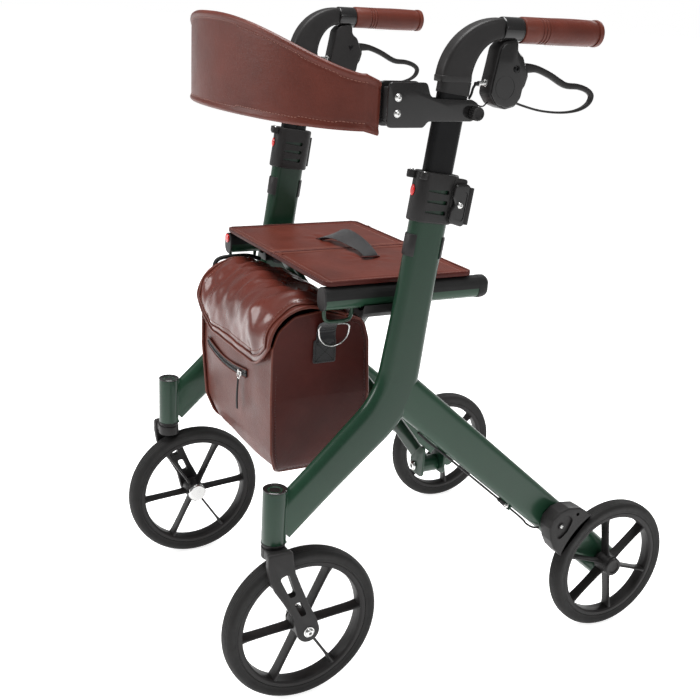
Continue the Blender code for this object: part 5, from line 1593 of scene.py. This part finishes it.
def make_caster():
    """One-armed fork with its windows, crown, bridge and stem, and the wheel's bolt."""
    arm_in, arm_out = SIDE_X + 0.0185, SIDE_X + 0.0305
    lobe = [(FRONT_AXLE.y + 0.0175 * cos(a), FRONT_AXLE.z + 0.0175 * sin(a))
            for a in [radians(15 - 15 * k) for k in range(13)]]
    outline = ([(-0.301, 0.256)] + [(-0.2995, 0.24), (-0.2955, 0.22), (-0.286, 0.196), (-0.2725, 0.164),
                                      (-0.26, 0.14)] + lobe
               + [(-0.296, 0.145), (-0.31, 0.17), (-0.325, 0.193), (-0.3345, 0.213), (-0.338, 0.235),
                  (-0.338, 0.256)])
    arm = slab("left_fork_arm", fillet(outline, 0.006, 3), arm_in, arm_out, PLASTIC, 0.0028)
    upper = slab("window", fillet([(-0.3205, 0.217), (-0.307, 0.2215), (-0.294, 0.184), (-0.304, 0.1825)],
                                  0.005), arm_in - 0.01, arm_out + 0.01, PLASTIC, 0.0)
    lower = slab("window", fillet([(-0.2975, 0.1715), (-0.2868, 0.173), (-0.2765, 0.15),
                                   (-0.285, 0.1475)], 0.0045), arm_in - 0.01, arm_out + 0.01, PLASTIC,
                 0.0)
    bolt_hole = turned("hole", [(-0.01, 0.0052), (0.05, 0.0052)], (arm_in, FRONT_AXLE.y, FRONT_AXLE.z), X,
                       PLASTIC, 0.0)
    cut(arm, upper, lower, bolt_hole)
    crown = turned("crown", [(0.2372, 0.014), (0.2385, HEAD_R), (0.253, HEAD_R), (0.254, 0.015),
                             (HEAD_BOTTOM - 0.0003, 0.015)], (SIDE_X, HEAD_Y, 0), Z, PLASTIC, 0.001)
    bridge = slab("bridge", rectangle(HEAD_Y - 0.016, 0.239, HEAD_Y + 0.016, 0.2545, 0.004), SIDE_X,
                  arm_out - 0.002, PLASTIC, 0.002)
    stem = turned("stem", [(0.245, STEM_R), (HEAD_TOP - 0.008, STEM_R)], (SIDE_X, HEAD_Y, 0), Z, STEEL)
    pair(join(arm, crown, bridge, stem), "left_caster", "black_plastic", "left_caster_fork")

    axle = turned("left_front_bolt", [(-0.0225, 0.014), (-0.0205, 0.016), (-0.0173, 0.016),
                                      (-0.0172, 0.005), (0.0306, 0.005), (0.0306, 0.0082),
                                      (0.0318, 0.0082)], FRONT_AXLE, X, STEEL)
    pair(join(axle, screw("head", FRONT_AXLE + X * 0.0316, X, 0.0066)), "left_caster", "steel",
         "left_front_axle")
    make_tyre("left_front_tread", FRONT_AXLE, FRONT_R, FRONT_TYRE_W, "left_front_wheel",
              "left_front_tyre")
    make_rim("left_front_spokes", FRONT_AXLE, FRONT_R, FRONT_TYRE_W, 0.017, 0.018, radians(-4),
             "left_front_wheel", "left_front_rim")


def make_rear_wheel():
    """Rear rim and tyre with the axle and its cap."""
    leg_in = SIDE_X - TUBE_T / 2 - REAR_AXLE.x
    axle = turned("left_rear_hub", [(leg_in - 0.0055, 0.008), (leg_in - 0.0045, 0.01),
                                    (leg_in - 0.0003, 0.01), (leg_in - 0.0003, 0.006), (0.0163, 0.006),
                                    (0.0163, 0.0152), (0.0195, 0.0152), (0.0204, 0.014), (0.0204, 0.0105),
                                    (0.0186, 0.0098), (0.0184, 0.001)], REAR_AXLE, X, PLASTIC)
    collar = turned_ring("collar", [(SIDE_X + TUBE_T / 2 - REAR_AXLE.x + 0.0002, 0.0062),
                                    (SIDE_X + TUBE_T / 2 - REAR_AXLE.x + 0.0002, 0.011), (-0.0128, 0.011),
                                    (-0.0128, 0.0062)], REAR_AXLE, X, PLASTIC, 0.0002)
    pair(join(axle, collar), "left_frame", "black_plastic", "left_rear_axle")
    make_tyre("left_rear_tread", REAR_AXLE, REAR_R, REAR_TYRE_W, "left_rear_wheel", "left_rear_tyre")
    make_rim("left_rear_spokes", REAR_AXLE, REAR_R, REAR_TYRE_W, 0.0125, 0.016, radians(20),
             "left_rear_wheel", "left_rear_rim")


def arc(radius, first, last, steps=14):
    """Points on a circle round the rear axle."""
    return [(REAR_AXLE.y + radius * cos(radians(first + (last - first) * k / steps)),
             REAR_AXLE.z + radius * sin(radians(first + (last - first) * k / steps)))
            for k in range(steps + 1)]


def make_rear_brake():
    """Housing over the rear wheel with its ring and pin, and the shoe inside it."""
    leg_out = SIDE_X + TUBE_T / 2 + 0.0003
    outline = arc(REAR_R + 0.0045, 160, 118) + [(0.207, 0.2285), (0.196, 0.235), (0.174, 0.238),
                                                (0.156, 0.2335), (0.143, 0.222), (0.14, 0.208),
                                                (0.145, 0.185), (0.154, 0.168)]
    body = slab("left_brake_drum", fillet(outline, 0.0035, 3), leg_out, 0.2735, PLASTIC, 0.003)
    pocket = slab("pocket", arc(REAR_R - 0.004, 156, 124) + arc(REAR_R + 0.0115, 124, 156), 0.2485,
                  0.2722, PLASTIC, 0.0)
    recess = slab("recess", fillet([(0.15, 0.205), (0.16, 0.182), (0.176, 0.196), (0.186, 0.217),
                                    (0.172, 0.227), (0.156, 0.222)], 0.01, 5), 0.2705, 0.28, PLASTIC, 0.0)
    hole = turned("hole", [(0.26, 0.003), (0.28, 0.003)], (0, 0.193, 0.224), X, PLASTIC, 0.0, 32)
    cut(body, pocket, recess, hole)
    ring = turned_ring("ring", [(0.2708, 0.0034), (0.2708, 0.0062), (0.2722, 0.0062), (0.2722, 0.0034)],
                       (0, 0.165, 0.206), X, PLASTIC, 0.0005, 40)
    pin = screw("pin", (0.2702, 0.165, 0.206), X, 0.0032)
    pair(join(body, ring, pin), "left_frame", "black_plastic", "left_rear_brake")
    shoe = slab("left_shoe_pad", fillet(arc(REAR_R + 0.0012, 154, 126) + arc(REAR_R + 0.009, 126, 154),
                                        0.001, 2), 0.2495, 0.2712, RUBBER, 0.001)
    pair(shoe, "left_brake_shoe", "rubber", "left_brake_shoe")


# ---------------------------------------------------------------- bag
BAG_LEVELS = [(0.305, 0.112), (0.316, 0.126), (0.345, 0.136), (0.43, 0.142), (0.512, 0.143), (0.57, 0.14)]
BAG_SIDE = [(-0.2895, 0.51), (-0.2895, 0.43), (-0.284, 0.345), (-0.27, 0.306), (-0.148, 0.306),
            (-0.133, 0.34), (-0.133, 0.43), (-0.139, 0.512), (-0.148, 0.542), (-0.215, 0.559),
            (-0.256, 0.554), (-0.28, 0.535)]


def bag_half(z):
    """Half width of the bag at a height."""
    if z <= BAG_LEVELS[0][0]:
        return BAG_LEVELS[0][1]
    for (z0, w0), (z1, w1) in zip(BAG_LEVELS, BAG_LEVELS[1:]):
        if z <= z1:
            return w0 + (w1 - w0) * (z - z0) / (z1 - z0)
    return BAG_LEVELS[-1][1]


def on_bag(made, body, slot, *nodes):
    """The piece rides with the bag and gets a mesh of its own."""
    add_piece(made, body, slot, *nodes)
    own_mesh(made)
    return made


def bag_outline():
    """The bag's outline seen from the side."""
    return fillet(BAG_SIDE, [0.02, 0.05, 0.05, 0.024, 0.02, 0.04, 0.05, 0.05, 0.02, 0.03, 0.03, 0.03], 7)


def soft(at, amount=0.0014, scale=9.0):
    return amount * noise.noise(Vector((at.x * scale, at.y * scale, at.z * scale + 3)))


def make_bag_side(sign):
    """Flat end panel in the darker leather that paints shade, a little hollow in its middle, with its
    thickness turned in.
    """
    outline = bag_outline()
    middle = Vector((-0.211, 0.43))
    rings = []
    for share in [i / 10 for i in range(10, -1, -1)]:
        ring = []
        for p in outline:
            q = middle.lerp(p, max(share, 0.02))
            dent = -0.0045 * (1 - share ** 2) ** 1.2
            x = bag_half(q.y) + 0.0018 + dent
            at = Vector((x, q.x, q.y))
            ring.append((sign * (x + soft(at, 0.0016, 11)), q.x, q.y))
        rings.append(ring)
    inner = [[(x - sign * 0.003, y, z) for x, y, z in ring] for ring in rings[::-1]]
    name = "left" if sign > 0 else "right"
    panel = loft(f"bag_{name}_end", inner + rings, SHADED_LEATHER, sharp=60)
    on_bag(panel, "bag", "leather", "bag_body")
    return outline


def make_bag_wrap():
    """One wide strip that is the bag's front, floor and back, softly bulged."""
    outline = bag_outline()
    start = min(range(len(outline)), key=lambda i: (outline[i] - Vector((-0.2895, 0.51))).length)
    stop = min(range(len(outline)), key=lambda i: (outline[i] - Vector((-0.148, 0.542))).length)
    line = []
    i = start
    while i != stop:
        line.append(outline[i])
        i = (i + 1) % len(outline)
    line.append(outline[stop])
    fine = []
    for a, b in zip(line, line[1:]):
        count = max(int((b - a).length / 0.005), 1)
        fine += [a.lerp(b, k / count) for k in range(count)]
    fine.append(line[-1])
    across = 60
    outer, inner = [], []
    for i, p in enumerate(fine):
        before, after = fine[max(i - 1, 0)], fine[min(i + 1, len(fine) - 1)]
        way = (after - before).normalized()
        out = Vector((0, -way.y, way.x))
        if out.y * (p.x + 0.211) + out.z * (p.y - 0.43) < 0:
            out = -out
        row, back = [], []
        for k in range(across + 1):
            share = -1 + 2 * k / across
            x = share * bag_half(p.y)
            bulge = 0.0042 * (1 - share ** 4)
            at = Vector((x, p.x, p.y))
            fold = 0.0016 * noise.noise(Vector((x * 16, p.y * 9, 1.0))) + 0.0016 * noise.noise(at * 7)
            edge = 1 - abs(share) ** 10
            pull = -0.002 * exp(-((p.y - 0.478) / 0.02) ** 2) if p.x < -0.25 else 0.0
            place_at = at + out * (bulge - 0.003 + (fold + pull) * edge)
            row.append(place_at)
            back.append(place_at - out * 0.003)
        outer.append(row)
        inner.append(back)
    rings = [row + back[::-1] for row, back in zip(outer, inner)]
    wrap = loft("bag_wrap", rings, LEATHER, sharp=70)
    on_bag(wrap, "bag", "leather", "bag_body")


def make_bag_piping(outline):
    """Piped edge and stitches round each side panel of the bag."""
    for sign, name in ((1, "left"), (-1, "right")):
        loop = []
        for p in outline:
            loop.append((sign * (bag_half(p.y) + 0.0004), p.x, p.y))
        cord = sweep(f"bag_{name}_piping", smooth(loop, 2, True), disc(0.0022, 10), LEATHER, closed=True)
        inner = []
        for p in inset(outline, 0.0058):
            inner.append((sign * (bag_half(p.y) + 0.0018), p.x, p.y))
        # These stitches take the darker thread: painted shade, like the end panels.
        thread = stitches("thread", inner + inner[:1], DARK_THREAD, *STITCH)
        on_bag(join(cord, thread), "bag", "leather", "bag_body")


FLAP_LINE = [(-0.153, 0.55), (-0.19, 0.564), (-0.23, 0.573), (-0.26, 0.568), (-0.283, 0.55),
             (-0.296, 0.523), (-0.2975, 0.495), (-0.296, 0.473)]
FLAP_T = 0.0026
FLAP_ACROSS = 96
FLAP_DOWN = 84


def flap_line():
    """The flap's side line as a function, and its length.

    The function gives the point at a distance along the line and the way out of it.
    """
    line = smooth([(0, y, z) for y, z in FLAP_LINE], 14)
    length = [0.0]
    for a, b in zip(line, line[1:]):
        length.append(length[-1] + (b - a).length)
    total = length[-1]

    def along(distance):
        distance = min(max(distance, 0.0), total - 1e-6)
        i = min(max(k for k in range(len(length)) if length[k] <= distance), len(line) - 2)
        share = (distance - length[i]) / (length[i + 1] - length[i])
        way = (line[i + 1] - line[i]).normalized()
        return line[i].lerp(line[i + 1], share), Vector((0, way.z, -way.y))
    return along, total


def flap_point(along, total, u, v):
    """u runs from side to side (-1 to 1), v from the back to the free edge (0 to 1)."""
    corner = max(0.0, (abs(u) - 0.55) / 0.45)
    at, out = along(v * total * (1 - 0.195 * corner ** 1.8))
    if out.z < -0.2:
        out = -out
    x = u * (bag_half(at.z) + 0.0035)
    side = max(0.0, (abs(u) - 0.8) / 0.2)
    droop = -0.007 * side ** 2 * (1 - v * 0.7)
    crease = 0.0078 * noise.noise(Vector((u * 2.3 + v * 1.1, v * 2.6 - u * 0.7, 0.7)))
    crease += 0.0046 * noise.noise(Vector((u * 5.0 - v * 3.0, v * 4.2 + u * 2.0, 4.1)))
    pulled = max(0.0, noise.noise(Vector((u * 7 + v * 6, v * 2 - u * 2, 9))))
    pulled *= 0.0045 * (1 - v ** 1.5 * 0.6)
    hold = min(1.0, (1 - v) * 9 + 0.25) * min(1.0, v * 7) * min(1.0, (1 - abs(u)) * 9 + 0.2)
    dome = 0.003 * (1 - u * u) * sin(pi * min(v * 1.2, 1.0))
    return Vector((x, at.y, at.z)) + out * (dome + (crease + pulled) * hold) + Z * droop


def make_bag_flap():
    """Soft lid: domed and creased toward its corners."""
    along, total = flap_line()
    across, down = FLAP_ACROSS, FLAP_DOWN
    outer = [[flap_point(along, total, -1 + 2 * k / across, i / down) for k in range(across + 1)]
             for i in range(down + 1)]
    inner = []
    for i in range(down + 1):
        row = []
        for k in range(across + 1):
            d1 = outer[min(i + 1, down)][k] - outer[max(i - 1, 0)][k]
            d2 = outer[i][min(k + 1, across)] - outer[i][max(k - 1, 0)]
            normal = d2.cross(d1).normalized()
            if normal.z * 0.4 - normal.y < 0:
                normal = -normal
            row.append(outer[i][k] - normal * FLAP_T)
        inner.append(row)
    rings = [row + back[::-1] for row, back in zip(outer, inner)]
    flap = loft("bag_flap_cover", rings, GLAZED, sharp=75)
    on_bag(flap, "bag_flap", "leather", "bag_flap")
    make_flap_piping(outer)


def make_flap_piping(outer):
    """Piped edge, a second roll inside it and a row of stitches, along the flap's sides and free edge."""
    def edge(inset_by):
        last, down = FLAP_ACROSS - inset_by, FLAP_DOWN - inset_by
        points = [outer[i][inset_by] for i in range(12, down)] + outer[down][inset_by:last + 1]
        return points + [outer[i][last] for i in range(down - 1, 11, -1)]

    rim = sweep("bag_flap_piping", edge(0), disc(0.0024, 10), LEATHER)
    roll = sweep("roll", [p + Vector((0, -0.0006, 0.0006)) for p in edge(4)], disc(0.0017, 10), LEATHER)
    thread = stitches("thread", [p + Vector((0, -0.0003, 0.0003)) for p in edge(7)], THREAD, *STITCH)
    on_bag(join(rim, roll, thread), "bag_flap", "leather")


def make_zip():
    """Zip across the bag's front with its slider, ring and hanging puller."""
    def front_y(x, z):
        share = x / bag_half(z)
        return -0.2895 - 0.0042 * (1 - share ** 4) + 0.0022

    line = []
    for k in range(49):
        x = -0.114 + 0.168 * k / 48
        z = 0.444 - 0.0085 * sin(pi * k / 48)
        line.append(Vector((x, front_y(x, z) - 0.0002, z)))
    tape = sweep("bag_zip", line, rounded_box(0.011, 0.0024, 4.0, 24), WEBBING, side=Z)
    teeth = []
    teeth_line = [p + Vector((0, -0.0013, 0)) for p in line]
    teeth.append(stitches("teeth", teeth_line, PLASTIC, 0.0016, 0.001, 0.0012))
    for shift in (-0.0062, 0.0062):
        hem = [p + Vector((0, -0.0006, shift)) for p in line]
        teeth.append(sweep("hem", hem, disc(0.0012, 8), LEATHER))
    on_bag(join(tape, *teeth), "bag", "webbing")
    at = Vector((0.0345, front_y(0.0345, 0.4395) - 0.003, 0.4395))
    slider = slab("bag_zip_slider", fillet([(-0.007, -0.0045), (0.007, -0.0038), (0.007, 0.0038),
                                            (-0.007, 0.0045)], 0.002), -0.0012, 0.0014, STEEL, 0.0008)
    place(slider, Matrix.Translation(at) @ ACROSS_TO_ALONG.transposed())
    ring = rod("ring", [at + Vector((0.0045 * cos(a), -0.002, -0.0035 + 0.006 * sin(a)))
                        for a in [2 * pi * k / 10 for k in range(10)]], 0.0008, STEEL, 10, closed=True)
    on_bag(join(slider, ring), "bag", "steel")
    pull = [at + Vector((0, -0.0024, -0.009)), at + Vector((-0.0005, -0.003, -0.02)),
            at + Vector((-0.0015, -0.0032, -0.033)), at + Vector((-0.002, -0.003, -0.047)),
            at + Vector((-0.0022, -0.0024, -0.058))]
    widths = [0.0036, 0.0048, 0.0058, 0.0064, 0.0056]
    route = smooth(pull, 6)
    puller = sweep("bag_zip_puller", route, lambda i: rounded_box(widths[min(i // 6, 4)], 0.0022, 3.0,
            20), RUBBER, side=X)
    on_bag(puller, "bag", "webbing")


def make_bag_hangers():
    """Webbing tab, stitched patch and D-ring on each end, and the loops that hang on the rails' wires."""
    hang_y = -0.2078
    for sign, name in ((1, "left"), (-1, "right")):
        def out(y, z, lift):
            return Vector((sign * (bag_half(z) + 0.003 + lift), y, z))
        steps = [(0.515, 0.0), (0.53, 0.0006), (0.542, 0.006), (0.55, 0.02), (0.5545, 0.032)]
        tab = sweep(f"bag_{name}_tab", smooth([out(hang_y, z, lift) for z, lift in steps], 6),
                    rounded_box(0.03, 0.0022, 5.0, 32), WEBBING, side=Y)
        patch = slab("patch", rectangle(-0.227, 0.483, -0.191, 0.518, 0.003), bag_half(0.5) + 0.001,
                     bag_half(0.5) + 0.0034, WEBBING, 0.0008)
        square = [(-0.224, 0.486), (-0.194, 0.486), (-0.194, 0.515), (-0.224, 0.515), (-0.224, 0.486)]
        cross = [(-0.224, 0.486), (-0.194, 0.515)], [(-0.194, 0.486), (-0.224, 0.515)]
        face = bag_half(0.5) + 0.0036
        rows = [stitches("thread", [(face, y, z) for y, z in run], RUBBER, 0.0036, 0.0026, 0.0005)
                for run in (square, *cross)]
        if sign < 0:
            for made in (patch, *rows):
                made.data.transform(Matrix.Scale(-1, 4, X))
                made.data.flip_normals()
        on_bag(join(tab, patch, *rows), "bag", "webbing")
        x = sign * (bag_half(0.52) + 0.0062)
        arch = []
        for k in range(13):
            angle = pi + pi * k / 12
            arch.append((x + sign * 0.0016 * sin(angle), hang_y + 0.0105 + 0.024 * cos(angle),
                         0.531 + 0.023 * sin(angle)))
        bar = [(x, hang_y + 0.0345, 0.537), (x, hang_y + 0.027, 0.541), (x, hang_y - 0.006, 0.541),
               (x, hang_y - 0.0135, 0.537)]
        ring = rod(f"bag_{name}_ring", arch + bar, 0.0013, STEEL, 12, closed=True, per_leg=3)
        on_bag(ring, "bag", "steel")


def make_far_arch():
    """Black moulded arch beside the far rail that stiffens the mouth of the bag."""
    route = [(-0.15, -0.269, 0.54), (-0.154, -0.266, 0.561), (-0.157, -0.256, 0.569),
             (-0.158, -0.235, 0.571), (-0.158, -0.206, 0.5705), (-0.156, -0.185, 0.564)]
    on_bag(rod("bag_right_arch", route, 0.0034, RUBBER, 14, per_leg=8), "bag", "webbing")


# ---------------------------------------------------------------- build
make_camera()
make_studio()
make_frame_tubes()
make_head_tube()
make_brace_lugs()
make_frame_clips()
make_height_tube()
make_elbow()
make_grip()
make_brake_housing()
make_cable_barrel()
make_brake_lever()
make_upper_cable()
make_lower_cable()
make_height_clamp()
make_clamp_lever()
make_back_bracket()
make_bracket_knob()
make_back_strap()
make_seat()
make_lift_strap()
make_rail()
make_rail_sleeve()
make_rail_caps()
make_reflector()
make_braces()
make_rail_rest()
make_caster()
make_rear_wheel()
make_rear_brake()
side_outline = make_bag_side(1)
make_bag_side(-1)
make_bag_wrap()
make_bag_piping(side_outline)
make_bag_flap()
make_zip()
make_bag_hangers()
make_far_arch()
